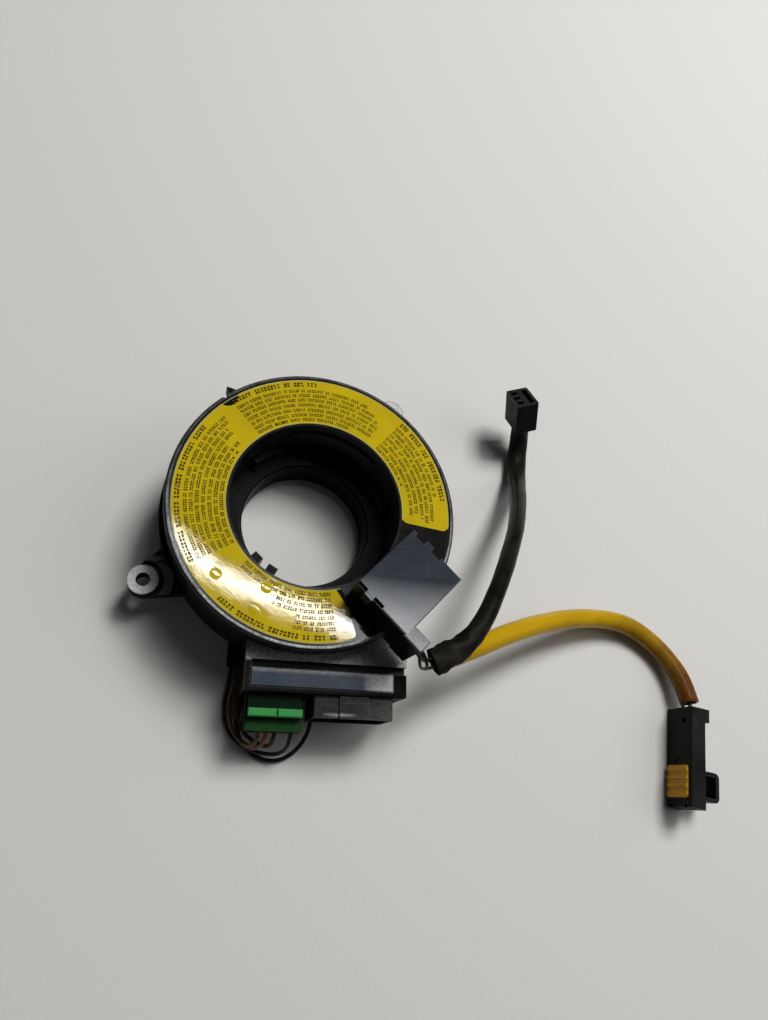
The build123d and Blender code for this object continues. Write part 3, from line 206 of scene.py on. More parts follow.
def grid_mesh(name, points, ring, along_share):
    """A closed-round grid of points (rows, ring, 3) as a mesh with a UV map.
    U is the share of a turn, V is along_share, one value for each row."""
    rows = len(points) // ring
    row = np.arange(rows - 1)[:, None]
    column = np.arange(ring)[None, :]
    after = (column + 1) % ring
    a = row * ring + column
    b = row * ring + after
    faces = np.stack([a, b, b + ring, a + ring], axis=-1).reshape(-1, 4)
    mesh = bpy.data.meshes.new(name)
    mesh.from_pydata(points.tolist(), [], faces.tolist())
    mesh.update()
    share = np.broadcast_to(column / ring, (rows - 1, ring))
    step = np.full((rows - 1, ring), 1.0 / ring)
    low = np.broadcast_to(along_share[:-1, None], (rows - 1, ring))
    high = np.broadcast_to(along_share[1:, None], (rows - 1, ring))
    uv = np.stack([share, low, share + step, low, share + step, high, share, high], axis=-1)
    layer = mesh.uv_layers.new(name="along")
    layer.data.foreach_set("uv", uv.reshape(-1).astype(np.float32))
    shade_smooth(mesh)
    return mesh


def lead_skin(name, line, diameter, shape, sides):
    """A skin whose radius is diameter / 2 times shape(distance along, angle), with both mouths
    turned in: rows run from deep inside one mouth, out over its edge, along, and in again."""
    count = len(line)
    length = np.linalg.norm(np.diff(line, axis=0), axis=1).sum()
    step = length / (count - 1)
    depth = MOUTH_DEPTHS * MOUTH_DEPTH * diameter / step
    rows = np.concatenate([depth, np.arange(count), count - 1 - depth[::-1]])
    scale = np.concatenate([MOUTH_WIDTHS, np.ones(count), MOUTH_WIDTHS[::-1]])
    index = np.clip(rows, 0, count - 1)
    grid = np.arange(count)
    centre = np.stack([np.interp(index, grid, line[:, k]) for k in range(3)], axis=1)
    across, upward = tube_frames(line)
    side = np.stack([np.interp(index, grid, across[:, k]) for k in range(3)], axis=1)
    lift = np.stack([np.interp(index, grid, upward[:, k]) for k in range(3)], axis=1)
    angle = np.linspace(0, 2 * np.pi, sides, endpoint=False)[None, :]
    far = (index * step)[:, None]
    radial, wide, tall = shape(far, angle)
    radius = diameter / 2 * scale[:, None] * radial
    points = centre[:, None] + (radius * wide * np.cos(angle))[..., None] * side[:, None] \
        + (radius * tall * np.sin(angle))[..., None] * lift[:, None]
    return grid_mesh(name, points.reshape(-1, 3), sides, index / (count - 1))


def sleeve_shape(far, angle):
    """Cloth: pressed flat at its mouth, with slanting folds that fade out, and wide at its plug."""
    flat = np.exp(-((far - PRESSED_AT) / PRESSED_REACH) ** 2)
    folds = flat * (0.06 * np.sin(3 * angle + far * 700) + 0.03 * np.sin(6 * angle - far * 1300))
    ripple = 0.012 * np.sin(far * 260 + 2 * np.sin(angle)) + 0.010 * np.sin(far * 610 + 3 * angle)
    spread = 0.30 * np.clip((far - SPREAD_FROM) / SPREAD_REACH, 0, 1) ** 2
    return 1 + folds + ripple, 1 + 0.42 * flat + spread + 0 * angle, 1 - 0.45 * flat + 0 * angle


def vinyl_shape(far, angle):
    """Vinyl: long shallow bulges, and a slight oval where it bends to the plug."""
    bend = np.exp(-((far - OVAL_AT) / OVAL_REACH) ** 2)
    bulge = 0.012 * np.sin(far * 190) + 0.006 * np.sin(far * 430 + 2 * angle)
    return 1 + bulge, 1 + 0.03 * bend + 0 * angle, 1 - 0.05 * bend + 0 * angle


def add_piece(name, mesh):
    """A new object with that mesh, at the origin."""
    piece = bpy.data.objects.new(name, mesh)
    bpy.context.scene.collection.objects.link(piece)
    return piece


def add_lead(name, line, diameter, shape, sides=SIDES):
    """A lead's skin as a piece."""
    return add_piece(name, lead_skin(name, line, diameter, shape, sides))


switch_sleeve = add_lead("cloth_sleeve", sleeve_line, SLEEVE_DIAMETER, sleeve_shape)
airbag_tube = add_lead("vinyl_airbag_tube", tube_line, TUBE_DIAMETER, vinyl_shape)
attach(switch_sleeve, "rotor")
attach(airbag_tube, "rotor")
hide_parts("switch_sleeve")
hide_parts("airbag_tube")
print("faces of sleeve and tube:", [len(o.data.polygons) for o in (switch_sleeve, airbag_tube)])

# %% [markdown]
# ## Leads: the five thin wires
# The thin wires use the same skin with fewer sides and a plain round shape. Their ends lie
# inside the outlet and the plug, so nobody sees the turned-in mouths there.

# %% The sensor's wires
WIRE_SIDES = 16


def round_shape(far, angle):
    """Extruded insulation: round, with ripples of half a percent from the winding machine."""
    ripple = 0.005 * np.sin(far * 900 + angle)
    return 1 + ripple, np.ones_like(ripple), np.ones_like(ripple)


wires = {}
for colour, route in SENSOR_ROUTES.items():
    line, length = spaced(line_of(route), WIRE_ROW)
    wire = add_lead("wire_" + colour, line, WIRE_DIAMETER, round_shape, WIRE_SIDES)
    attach(wire, "stator")
    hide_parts("sensor_wire_" + colour)
    wires[colour] = wire
    print("wire", colour, round(length, 4))

# %% [markdown]
# ## Finishes: a small kit of nodes
# A finish is a tree of nodes that ends in one shader. A few short helpers keep the trees
# readable: `put` makes a node and sets or links its sockets, and the rest are sums, blends and
# masks made with it.
# Every pattern reads Object coordinates, which are metres here because nothing is moved,
# so a noise scale of 1000 gives spots about a millimetre wide.

# %% Helpers for finishes
def put(tree, kind, settings=None, **sockets):
    """One node of that kind. settings are its own properties, sockets its inputs, by name or
    by number as n0, n1: a value is stored there, and another node's output is linked."""
    node = tree.nodes.new(kind)
    for key, value in (settings or {}).items():
        setattr(node, key, value)
    for key, value in sockets.items():
        socket = node.inputs[int(key[1:])] if key[0] == "n" and key[1:].isdigit() else node.inputs[
            key.replace("_", " ")]
        if isinstance(value, bpy.types.NodeSocket):
            tree.links.new(value, socket)
        else:
            socket.default_value = value
    return node


def start_finish(name):
    """A new material with an empty tree, its shader and its Object coordinates."""
    finish = bpy.data.materials.new(name)
    finish.use_nodes = True
    tree = finish.node_tree
    tree.nodes.clear()
    shader = put(tree, "ShaderNodeBsdfPrincipled")
    out = put(tree, "ShaderNodeOutputMaterial")
    tree.links.new(shader.outputs["BSDF"], out.inputs["Surface"])
    place = put(tree, "ShaderNodeTexCoord")
    return finish, tree, shader, place


def noise(tree, place, scale, detail=3.0, rough=0.55, stretch=(1, 1, 1), turn=(0, 0, 0)):
    """Cloudy noise from 0 to 1. stretch scales each axis, so a long stretch gives streaks."""
    vector = place.outputs["Object"]
    if stretch != (1, 1, 1) or turn != (0, 0, 0):
        vector = put(tree, "ShaderNodeMapping", Vector=vector, Scale=stretch,
                     Rotation=turn).outputs["Vector"]
    node = put(tree, "ShaderNodeTexNoise", Vector=vector, Scale=scale, Detail=detail,
               Roughness=rough)
    return node.outputs["Fac"]


def remap(tree, value, low, high, to_low=0.0, to_high=1.0):
    """value, stretched from low...high to to_low...to_high and held inside them."""
    node = put(tree, "ShaderNodeMapRange", n0=value, n1=low, n2=high, n3=to_low, n4=to_high)
    return node.outputs["Result"]


def blend_colour(tree, amount, first, second):
    """first where amount is 0, second where it is 1."""
    node = put(tree, "ShaderNodeMix", {"data_type": "RGBA"}, n0=amount, n6=first, n7=second)
    return node.outputs[2]


def times(tree, first, second):
    """The product of two values."""
    return put(tree, "ShaderNodeMath", {"operation": "MULTIPLY"}, n0=first, n1=second).outputs[0]


def plus(tree, first, second):
    """The sum of two values."""
    return put(tree, "ShaderNodeMath", {"operation": "ADD"}, n0=first, n1=second).outputs[0]


def facing_up(tree, low=0.5, high=0.95):
    """1 on faces that look up, where dust settles, and 0 on walls."""
    normal = put(tree, "ShaderNodeNewGeometry").outputs["Normal"]
    height = put(tree, "ShaderNodeSeparateXYZ", Vector=normal).outputs["Z"]
    return remap(tree, height, low, high)


def band(tree, value, low, high, soft):
    """1 where value lies between low and high, with an edge as wide as soft."""
    rise = remap(tree, value, low - soft, low)
    return times(tree, rise, remap(tree, value, high, high + soft, 1.0, 0.0))


def axes_of(tree, place, turn=0.0):
    """The Object coordinates one by one, turned about the bore axis."""
    vector = put(tree, "ShaderNodeMapping", Vector=place.outputs["Object"],
                 Rotation=(0, 0, turn)).outputs["Vector"]
    return put(tree, "ShaderNodeSeparateXYZ", Vector=vector).outputs


def from_point(tree, place, point):
    """How far a place is from a point, in metres."""
    return put(tree, "ShaderNodeVectorMath", {"operation": "DISTANCE"}, n0=place.outputs["Object"],
               n1=point).outputs["Value"]


def from_bore_axis(tree, place):
    """How far a place is from the bore axis, in metres."""
    flat = put(tree, "ShaderNodeMapping", Vector=place.outputs["Object"], Scale=(1, 1, 0))
    return put(tree, "ShaderNodeVectorMath", {"operation": "LENGTH"},
               n0=flat.outputs["Vector"]).outputs["Value"]


def edge_wear(tree, radius=0.0006):
    """1 near sharp edges. A rounded normal is compared with the true one: they differ there."""
    soft = put(tree, "ShaderNodeBevel", {"samples": 4}, Radius=radius).outputs["Normal"]
    true = put(tree, "ShaderNodeNewGeometry").outputs["Normal"]
    same = put(tree, "ShaderNodeVectorMath", {"operation": "DOT_PRODUCT"}, n0=soft, n1=true)
    return remap(tree, same.outputs["Value"], 0.985, 0.85)


def bump(tree, shader, height, strength, depth, socket="Normal"):
    """Small relief: height moves the surface, or its clear coat, by up to depth, in metres."""
    node = put(tree, "ShaderNodeBump", Strength=strength, Distance=depth, Height=height)
    tree.links.new(node.outputs["Normal"], shader.inputs[socket])


def paler(colour, factor):
    """A colour made brighter by that factor, and held at 1."""
    return tuple(min(1, share * factor) for share in colour[:3]) + (1,)


print("finish helpers ready")

# %% [markdown]
# ## Moulded black plastic
# Housings like this are glass-filled nylon: dark, satin, with a fine spark-eroded grain. Years
# in a car leave grey dust on what faces up, rubbed lighter edges and a few scratches. One
# function makes them all, and each housing gets its own amounts.

# %% Moulded plastic finish
def moulded(name, colour, dust_colour, dust=0.5, rough=0.42, gloss_coat=0.0, grain=0.25, wear=0.35,
            scratch=0.3, speck=0.5, shine=0.2, patch=None, patch_colour=(0.20, 0.205, 0.21, 1),
            mottle_low=0.25, bare_within=0.0):
    """A moulded plastic. dust, wear, scratch and speck say how much of each shows, patch gives the
    places painted pale, by rubbing, by dust or as painted highlights and reflections, with
    mottle_low as the share left between the flecks, and nearer the bore than bare_within there is
    no gloss."""
    finish, tree, shader, place = start_finish(name)
    up = facing_up(tree)
    clouds = remap(tree, noise(tree, place, 70, 5), 0.35, 0.72)
    specks = remap(tree, noise(tree, place, 1500, 2, 0.7), 0.60, 0.70)
    lines = noise(tree, place, 60, 2, 0.5, (1.0, 22.0, 9.0), (0.2, 0.1, 0.6))
    lines = remap(tree, lines, 0.66, 0.70)
    crossing = noise(tree, place, 55, 2, 0.5, (24.0, 1.0, 9.0), (0.1, 0.3, 0.25))
    crossing = remap(tree, crossing, 0.67, 0.70)
    dust_film = times(tree, times(tree, clouds, up), dust)
    grit = times(tree, times(tree, specks, up), speck)
    marks = times(tree, times(tree, plus(tree, lines, crossing), up), scratch)
    body = blend_colour(tree, noise(tree, place, 25, 3), colour, paler(colour, 1.35))
    dusty = blend_colour(tree, dust_film, body, dust_colour)
    gritty = blend_colour(tree, grit, dusty, paler(dust_colour, 1.7))
    scuffed = blend_colour(tree, times(tree, marks, 0.35), gritty, (0.20, 0.21, 0.22, 1))
    # patch: rubbed or dusty places, and painted highlights and reflections
    if patch:
        mottle = remap(tree, noise(tree, place, 1200, 6, 0.75), 0.34, 0.66, mottle_low, 1.0)
        pale = times(tree, times(tree, patch(tree, place), up), mottle)
        scuffed = blend_colour(tree, pale, scuffed, patch_colour)
    worn = blend_colour(tree, times(tree, edge_wear(tree), wear), scuffed, (0.13, 0.135, 0.14, 1))
    tree.links.new(worn, shader.inputs["Base Color"])
    level = plus(tree, plus(tree, times(tree, dust_film, 0.3), times(tree, marks, 0.2)),
                 remap(tree, noise(tree, place, 180, 4), 0.3, 0.7, rough - 0.07, rough + 0.09))
    tree.links.new(level, shader.inputs["Roughness"])
    shader.inputs["Specular IOR Level"].default_value = shine
    polished = times(tree, facing_up(tree, 0.15, 0.5), gloss_coat)
    if bare_within:
        reach = from_bore_axis(tree, place)
        polished = times(tree, remap(tree, reach, bare_within - 0.0002, bare_within), polished)
    if gloss_coat:
        tree.links.new(polished, shader.inputs["Coat Weight"])
    shader.inputs["Coat Roughness"].default_value = 0.12
    relief = plus(tree, noise(tree, place, 2600, 2), times(tree, marks, -0.6))
    bump(tree, shader, relief, grain, 0.00004)
    return finish


black_housing = moulded("black_housing", (0.003, 0.003, 0.003, 1), (0.04, 0.038, 0.035, 1), 0.3,
                        0.40, wear=0.15, shine=0.05)
print("first finish ready:", black_housing.name)

# %% [markdown]
# Some places are painted paler than the rest. Dust lies on the block's shelf behind the ring, and
# the screw bosses on the ears are rubbed pale. The rest are painted highlights and reflections: a
# sheen and a glint streak on the shroud, a glint on the block's corner, a ring round each boss's
# foot, the lower half of the tower's lid, the end of the block's cover, which is partly worn too,
# and the rim's edge. A patch is a function of the Object coordinates, which gives 0 to 1 and more,
# so it stays on its spot when the part turns.

# %% Rubbed and dusty places, painted highlights and reflections, and the moulded finishes
EAR_SCREWS = ((-0.05611, -0.02798, 0.016), (0.03295, 0.05334, 0.016))
# The screw bosses are rubbed pale, and a ring round each boss's foot is a painted highlight.
BOSS_R, BOSS_GLINT_R = (0.0050, 0.0056), (0.0078, 0.0100)
SHELF_Y, SHELF_Z = (-0.0545, -0.044), (0.0263, 0.028)
SHROUD_X, SHROUD_Z = (0.018, 0.031), (0.0240, 0.0256)
# Painted glints: a streak on the shroud's top and a spot on the block's corner.
SHROUD_GLINT_X, SHROUD_GLINT_Y = (0.0125, 0.0150), (-0.0717, -0.0712)
BLOCK_CORNER_GLINT, CORNER_GLINT_R = (0.0348, -0.0515, 0.0278), (0.0011, 0.0016)
TOWER_TURN = math.radians(43.5)
# The lid's lower half carries a painted reflection.
LID_LOWER_Y = (-0.0425, -0.0295)
TABS_V = (-0.0145, -0.0085)      # u and v are the tower's own axes: out from the bore, across
CHUTE_U = (0.0538, 0.0545)
COVER_END_X, COVER_TOP_Y = (0.021, 0.031), (-0.0590, -0.0573)
RIM_EDGE_R, RIM_EDGE_Z = (0.0511, 0.0516), (0.0344, 0.0364)
# The rim's edge carries a painted reflection, strongest on the block's side.
RIM_GLINT_Y = (-0.024, 0.006)
PLUG_FRONT_Y = (-0.0742, -0.0725)


def shelf_and_ears(tree, place):
    """Dust on the shelf behind the block's groove, a painted sheen and glint streak on the shroud's
    top, a painted glint on the block's corner, and rubbed screw bosses with a painted highlight
    round their feet.
    """
    x, y, z = axes_of(tree, place)
    pale = times(tree, band(tree, z, *SHELF_Z, 0.0002), band(tree, y, *SHELF_Y, 0.0008))
    pale = times(tree, pale, 0.85)
    for screw in EAR_SCREWS:
        far = from_point(tree, place, screw)
        pale = plus(tree, pale, remap(tree, far, *BOSS_R, 1.6, 0.0))
        # a painted highlight in a ring round the boss's foot
        pale = plus(tree, pale, times(tree, band(tree, far, *BOSS_GLINT_R, 0.0006), 0.6))
    # a painted sheen on the shroud's top, brighter to the right, and a painted glint streak on it
    on_shroud = band(tree, z, *SHROUD_Z, 0.0002)
    sheen = remap(tree, x, *SHROUD_X, 0.055, 0.15)
    streak = times(tree, band(tree, x, *SHROUD_GLINT_X, 0.005), band(tree, y, *SHROUD_GLINT_Y, 0.0005))
    # a painted glint on the block's corner
    corner_glint = remap(tree, from_point(tree, place, BLOCK_CORNER_GLINT), *CORNER_GLINT_R, 1.0, 0.0)
    shroud = times(tree, on_shroud, plus(tree, sheen, times(tree, streak, 0.55)))
    return plus(tree, plus(tree, pale, corner_glint), shroud)


def lid_and_chute(tree, place):
    """The lid's lower half, paler as a painted reflection, its edge by the tabs, and all of the
    chute's top.
    """
    tower, world = axes_of(tree, place, TOWER_TURN), axes_of(tree, place)
    # a painted reflection, paler towards the lid's lower edge
    lower_half = times(tree, remap(tree, world["Y"], *LID_LOWER_Y, 1.0, 0.0),
                       remap(tree, tower["X"], *CHUTE_U, 0.92, 0.0))
    by_tabs = times(tree, remap(tree, tower["Y"], *TABS_V, 1.0, 0.0), 0.12)
    on_chute = times(tree, remap(tree, tower["X"], *CHUTE_U), 0.50)
    return plus(tree, plus(tree, lower_half, by_tabs), on_chute)


def cover_end(tree, place):
    """The cover's right end, worn and paler as a painted reflection, and painted glints on a little
    of its top edge.
    """
    axes = axes_of(tree, place)
    # wear and a painted reflection on the right end, painted glints on the top edge
    return plus(tree, times(tree, remap(tree, axes["X"], *COVER_END_X), 2.4),
                times(tree, remap(tree, axes["Y"], *COVER_TOP_Y), 0.4))


def rim_edge(tree, place):
    """A painted reflection of a lamp along the rounded edge of the rim, strongest on the block's
    side.
    """
    reach, axes = from_bore_axis(tree, place), axes_of(tree, place)
    edge = times(tree, band(tree, reach, *RIM_EDGE_R, 0.0003),
                 band(tree, axes["Z"], *RIM_EDGE_Z, 0.0004))
    uneven = remap(tree, noise(tree, place, 140, 3), 0.35, 0.65, 0.35, 1.0)
    glint_by_block = remap(tree, axes["Y"], *RIM_GLINT_Y, 1.4, 0.25)
    return times(tree, times(tree, edge, uneven), glint_by_block)


def plug_front(tree, place):
    """The green plug in front of its bar, which is made paler."""
    return remap(tree, axes_of(tree, place)["Y"], *PLUG_FRONT_Y, 1.0, 0.0)


RIM_BLACK = (0.0025, 0.0027, 0.0027, 1)
# Its patch: dust on the shelf, rubbed screw bosses, and painted highlights on the shroud, the
# block's corner and round the bosses.
dusty_block = moulded("dusty_block", (0.003, 0.003, 0.003, 1), (0.028, 0.027, 0.026, 1), 0.4, 0.45,
                      grain=0.5, wear=0.5, speck=0.5, shine=0.05, patch=shelf_and_ears,
                      patch_colour=(0.62, 0.62, 0.61, 1))
# Its patch is a painted reflection of a lamp along the rim's rounded edge.
glossy_rim = moulded("glossy_rim", RIM_BLACK, (0.018, 0.018, 0.016, 1), 0.3, 0.25, 0.35,
                     grain=0.06, wear=0.2, scratch=0.1, speck=0.08, shine=0.08, patch=rim_edge,
                     patch_colour=(0.72, 0.73, 0.75, 1), bare_within=0.0308)
# The lid's blue-grey clouds, laid on as its dust film, are partly dust and partly a painted
# reflection.
slate_lid = moulded("slate_lid", (0.009, 0.013, 0.020, 1), (0.040, 0.050, 0.066, 1), 0.8, 0.28, 0.3,
                    grain=0.12, wear=0.35, scratch=0.22, speck=0.2, shine=0.15, patch=lid_and_chute,
                    patch_colour=(0.355, 0.37, 0.39, 1), mottle_low=0.75)
# Its patch: wear and a painted reflection on the cover's right end, painted glints on its top edge.
glossy_cover = moulded("glossy_cover", (0.012, 0.021, 0.036, 1), (0.060, 0.078, 0.11, 1), 0.6,
                       0.24, 0.3, grain=0.15, wear=0.9, scratch=0.5, speck=0.3, shine=0.2,
                       patch=cover_end,
                       patch_colour=(0.85, 0.85, 0.81, 1))
plug_black = moulded("plug_black", (0.0085, 0.0085, 0.0088, 1), (0.045, 0.044, 0.042, 1), 0.3, 0.42,
                     grain=0.2, wear=0.5, scratch=0.15, speck=0.15, shine=0.05)
inner_black = moulded("inner_black", (0.003, 0.003, 0.003, 1), (0.02, 0.02, 0.019, 1), 0.3, 0.40,
                      grain=0.2, wear=0.35, scratch=0.1, speck=0.15, shine=0.12)
green_body = moulded("green_body", (0.0022, 0.0095, 0.003, 1), (0.008, 0.018, 0.010, 1), 0.15, 0.36,
                     grain=0.15, wear=0.1, scratch=0.1, speck=0.1, shine=0.04, patch=plug_front,
                     patch_colour=(0.014, 0.070, 0.018, 1))
green_bar = moulded("green_bar", (0.028, 0.23, 0.050, 1), (0.07, 0.26, 0.10, 1), 0.25, 0.3, 0.1,
                    grain=0.1, wear=0.08, scratch=0.15, speck=0.1, shine=0.2)
yellow_lock = moulded("yellow_lock", (0.44, 0.22, 0.006, 1), (0.20, 0.10, 0.015, 1), 0.5, 0.4, 0.05,
                      grain=0.15, wear=0.1, scratch=0.4, speck=0.3, shine=0.15)
print("moulded finishes:", len(bpy.data.materials))

# %% [markdown]
# ## Metal, film and board
# Pins are tinned copper, busbars are brass strip, the code disc is thin steel, the flat cable
# is copper between clear films, and the sensor's board has green lacquer. They show only
# through openings, yet each has its own colour variation and roughness.

# %% Metal, film and board finishes
def metal(name, colour, dull_colour, rough, streak=(1, 1, 1)):
    """A metal whose colour and roughness drift in clouds, with fine streaks along one axis."""
    finish, tree, shader, place = start_finish(name)
    clouds = remap(tree, noise(tree, place, 220, 4), 0.3, 0.7)
    tree.links.new(blend_colour(tree, clouds, colour, dull_colour), shader.inputs["Base Color"])
    shader.inputs["Metallic"].default_value = 1.0
    fine = noise(tree, place, 900, 3, 0.6, streak)
    tree.links.new(remap(tree, fine, 0.3, 0.7, rough, rough + 0.18), shader.inputs["Roughness"])
    bump(tree, shader, fine, 0.15, 0.00002)
    return finish


def film(name, colour, other, rough, scale):
    """A smooth lacquered or laminated surface of two close colours."""
    finish, tree, shader, place = start_finish(name)
    clouds = remap(tree, noise(tree, place, scale, 4), 0.3, 0.7)
    tree.links.new(blend_colour(tree, clouds, colour, other), shader.inputs["Base Color"])
    tree.links.new(remap(tree, clouds, 0, 1, rough, rough + 0.12), shader.inputs["Roughness"])
    shader.inputs["Coat Weight"].default_value = 0.4
    shader.inputs["Coat Roughness"].default_value = 0.1
    bump(tree, shader, noise(tree, place, scale * 6), 0.1, 0.00003)
    return finish


tinned = metal("tinned", (0.62, 0.61, 0.58, 1), (0.42, 0.41, 0.38, 1), 0.24, (1, 12, 1))
brass_strip = metal("brass_strip", (0.70, 0.52, 0.24, 1), (0.48, 0.33, 0.14, 1), 0.3, (12, 1, 1))
disc_steel = metal("disc_steel", (0.55, 0.55, 0.56, 1), (0.38, 0.37, 0.36, 1), 0.28)
cable_film = film("cable_film", (0.52, 0.36, 0.20, 1), (0.40, 0.25, 0.12, 1), 0.2, 400)
board_green = film("board_green", (0.02, 0.12, 0.05, 1), (0.03, 0.17, 0.07, 1), 0.3, 250)
print("metal and film finishes ready")

# %% [markdown]
# ## Label film
# The label is a yellow polyester film with a hard clear top, so lamps mirror in it. Hands have
# left a faint olive grime in clouds and specks. The film lies in tiny waves, and its top has a
# finer grain of its own, which break the mirror image up. Its end under the tower is black.

# %% Label finish
LABEL_END_TURN = math.radians(53.9)
LABEL_END_AT = -0.01164
NEAR_TOWER_Y = (-0.028, -0.027)


def label_film():
    """Yellow film: olive grime, a black end, waves in the film and finer ones in its coat."""
    finish, tree, shader, place = start_finish("label_film")
    clouds = remap(tree, noise(tree, place, 60, 5, 0.6), 0.35, 0.75)
    specks = remap(tree, noise(tree, place, 1100, 3, 0.7), 0.62, 0.74)
    base = blend_colour(tree, clouds, (0.58, 0.43, 0.004, 1), (0.47, 0.345, 0.005, 1))
    printed = blend_colour(tree, times(tree, specks, 0.45), base, (0.20, 0.16, 0.02, 1))
    across_end = axes_of(tree, place, LABEL_END_TURN)["Y"]
    past_end = remap(tree, across_end, LABEL_END_AT - 0.0001, LABEL_END_AT + 0.0001)
    near_tower = remap(tree, axes_of(tree, place)["Y"], *NEAR_TOWER_Y, 1.0, 0.0)
    tree.links.new(blend_colour(tree, times(tree, past_end, near_tower), printed, RIM_BLACK),
                   shader.inputs["Base Color"])
    tree.links.new(remap(tree, clouds, 0, 1, 0.5, 0.6), shader.inputs["Roughness"])
    shader.inputs["Specular IOR Level"].default_value = 0.08
    shader.inputs["Coat Weight"].default_value = 1.0
    shader.inputs["Coat Roughness"].default_value = 0.03
    grain = times(tree, noise(tree, place, 2400, 5, 0.8), 0.95)
    bump(tree, shader, plus(tree, noise(tree, place, 90, 2), grain), 0.34, 0.0001)
    peel = plus(tree, times(tree, noise(tree, place, 90, 2), 3.0), noise(tree, place, 1300, 2, 0.6))
    bump(tree, shader, peel, 1.0, 0.000009, "Coat Normal")
    return finish


def print_ink(name, colour, other):
    """Screen ink: thin, a little glossy, with patches where it is worn."""
    finish, tree, shader, place = start_finish(name)
    worn = remap(tree, noise(tree, place, 900, 4, 0.7), 0.45, 0.75)
    tree.links.new(blend_colour(tree, worn, colour, other), shader.inputs["Base Color"])
    tree.links.new(remap(tree, worn, 0, 1, 0.45, 0.6), shader.inputs["Roughness"])
    shader.inputs["Specular IOR Level"].default_value = 0.05
    bump(tree, shader, worn, 0.1, 0.00002)
    return finish


yellow_label = label_film()
dark_ink = print_ink("dark_ink", (0.045, 0.036, 0.006, 1), (0.12, 0.092, 0.008, 1))
pale_ink = print_ink("pale_ink", (0.42, 0.42, 0.17, 1), (0.48, 0.42, 0.08, 1))
print("label finishes ready")

# %% [markdown]
# ## Leads and sleeves: finishes along a cord
# A cord's finish follows the cord, so it reads the piece's own UV map: U runs round it and V
# along it. The black sleeve is a varnished woven cloth, the yellow tube is soft vinyl that has
# browned near its hot end, and the thin wires have plain glossy insulation.

# %% Cord finishes
def along(tree, place, scale_round, scale_long):
    """The UV map, scaled round and along the cord."""
    return put(tree, "ShaderNodeMapping", Vector=place.outputs["UV"],
               Scale=(scale_round, scale_long, 1)).outputs["Vector"]


def woven_sleeve():
    """Two crossed waves make a weave's small cells; clouds and scuffs lie over them."""
    finish, tree, shader, place = start_finish("woven_sleeve")
    right = put(tree, "ShaderNodeTexWave", {"bands_direction": "DIAGONAL"},
                Vector=along(tree, place, 26, 170), Scale=0.33, Distortion=0.4).outputs["Fac"]
    left = put(tree, "ShaderNodeTexWave", {"bands_direction": "DIAGONAL"},
               Vector=along(tree, place, -26, 170), Scale=0.33, Distortion=0.4).outputs["Fac"]
    weave = times(tree, right, left)
    clouds = remap(tree, noise(tree, place, 90, 5, 0.6), 0.35, 0.72)
    scuffs = remap(tree, noise(tree, place, 700, 3, 0.7), 0.60, 0.72)
    base = blend_colour(tree, clouds, (0.004, 0.004, 0.003, 1), (0.015, 0.013, 0.010, 1))
    tree.links.new(blend_colour(tree, times(tree, scuffs, 0.3), base, (0.075, 0.068, 0.055, 1)),
                   shader.inputs["Base Color"])
    tree.links.new(remap(tree, clouds, 0, 1, 0.30, 0.50), shader.inputs["Roughness"])
    shader.inputs["Specular IOR Level"].default_value = 0.15
    bump(tree, shader, plus(tree, times(tree, weave, 0.5), noise(tree, place, 500, 3)), 0.3, 0.0001)
    return finish


def vinyl_tube():
    """Yellow vinyl. V turns it orange-brown towards the far end, with grime in clouds."""
    finish, tree, shader, place = start_finish("vinyl_tube")
    length = put(tree, "ShaderNodeSeparateXYZ", Vector=place.outputs["UV"]).outputs["Y"]
    drift = plus(tree, length, times(tree, noise(tree, place, 120, 4), 0.3))
    aged = remap(tree, drift, 0.72, 1.12)
    young = blend_colour(tree, remap(tree, noise(tree, place, 60, 4), 0.3, 0.7),
                         (0.53, 0.325, 0.003, 1), (0.43, 0.25, 0.003, 1))
    base = blend_colour(tree, aged, young, (0.12, 0.040, 0.005, 1))
    grime = remap(tree, noise(tree, place, 420, 4, 0.7), 0.55, 0.75)
    tree.links.new(blend_colour(tree, times(tree, grime, 0.4), base, (0.14, 0.08, 0.02, 1)),
                   shader.inputs["Base Color"])
    tree.links.new(remap(tree, grime, 0, 1, 0.26, 0.42), shader.inputs["Roughness"])
    shader.inputs["Specular IOR Level"].default_value = 0.2
    bump(tree, shader, noise(tree, place, 260, 4), 0.2, 0.0001)
    return finish


def insulation(name, colour, other, rough=0.25):
    """Thin extruded insulation: its colour drifts a little and dust dulls it in places."""
    finish, tree, shader, place = start_finish(name)
    clouds = remap(tree, noise(tree, place, 300, 4), 0.35, 0.7)
    tree.links.new(blend_colour(tree, clouds, colour, other), shader.inputs["Base Color"])
    tree.links.new(remap(tree, clouds, 0, 1, rough, rough + 0.2), shader.inputs["Roughness"])
    shader.inputs["Specular IOR Level"].default_value = 0.3
    bump(tree, shader, noise(tree, place, 1500, 2), 0.08, 0.00003)
    return finish


black_sleeve = woven_sleeve()
yellow_vinyl = vinyl_tube()
WIRE_FINISHES = {
    "black": insulation("black_wire", (0.006, 0.006, 0.006, 1), (0.015, 0.015, 0.014, 1), 0.2),
    "brown": insulation("brown_wire", (0.055, 0.020, 0.008, 1), (0.035, 0.014, 0.007, 1)),
    "orange": insulation("orange_wire", (0.24, 0.075, 0.008, 1), (0.17, 0.055, 0.008, 1)),
    "yellow": insulation("yellow_wire", (0.085, 0.060, 0.008, 1), (0.055, 0.040, 0.008, 1)),
}
print("cord finishes:", ["woven_sleeve", "vinyl_tube"] + sorted(WIRE_FINISHES))

# %% [markdown]
# ## Give every solid its finish
# The CAD solids stay as they are and only get a finish in their material slots. Parts that
# came out of one mould share a finish; the rim is glossier than the drum because it is
# polished by handling.

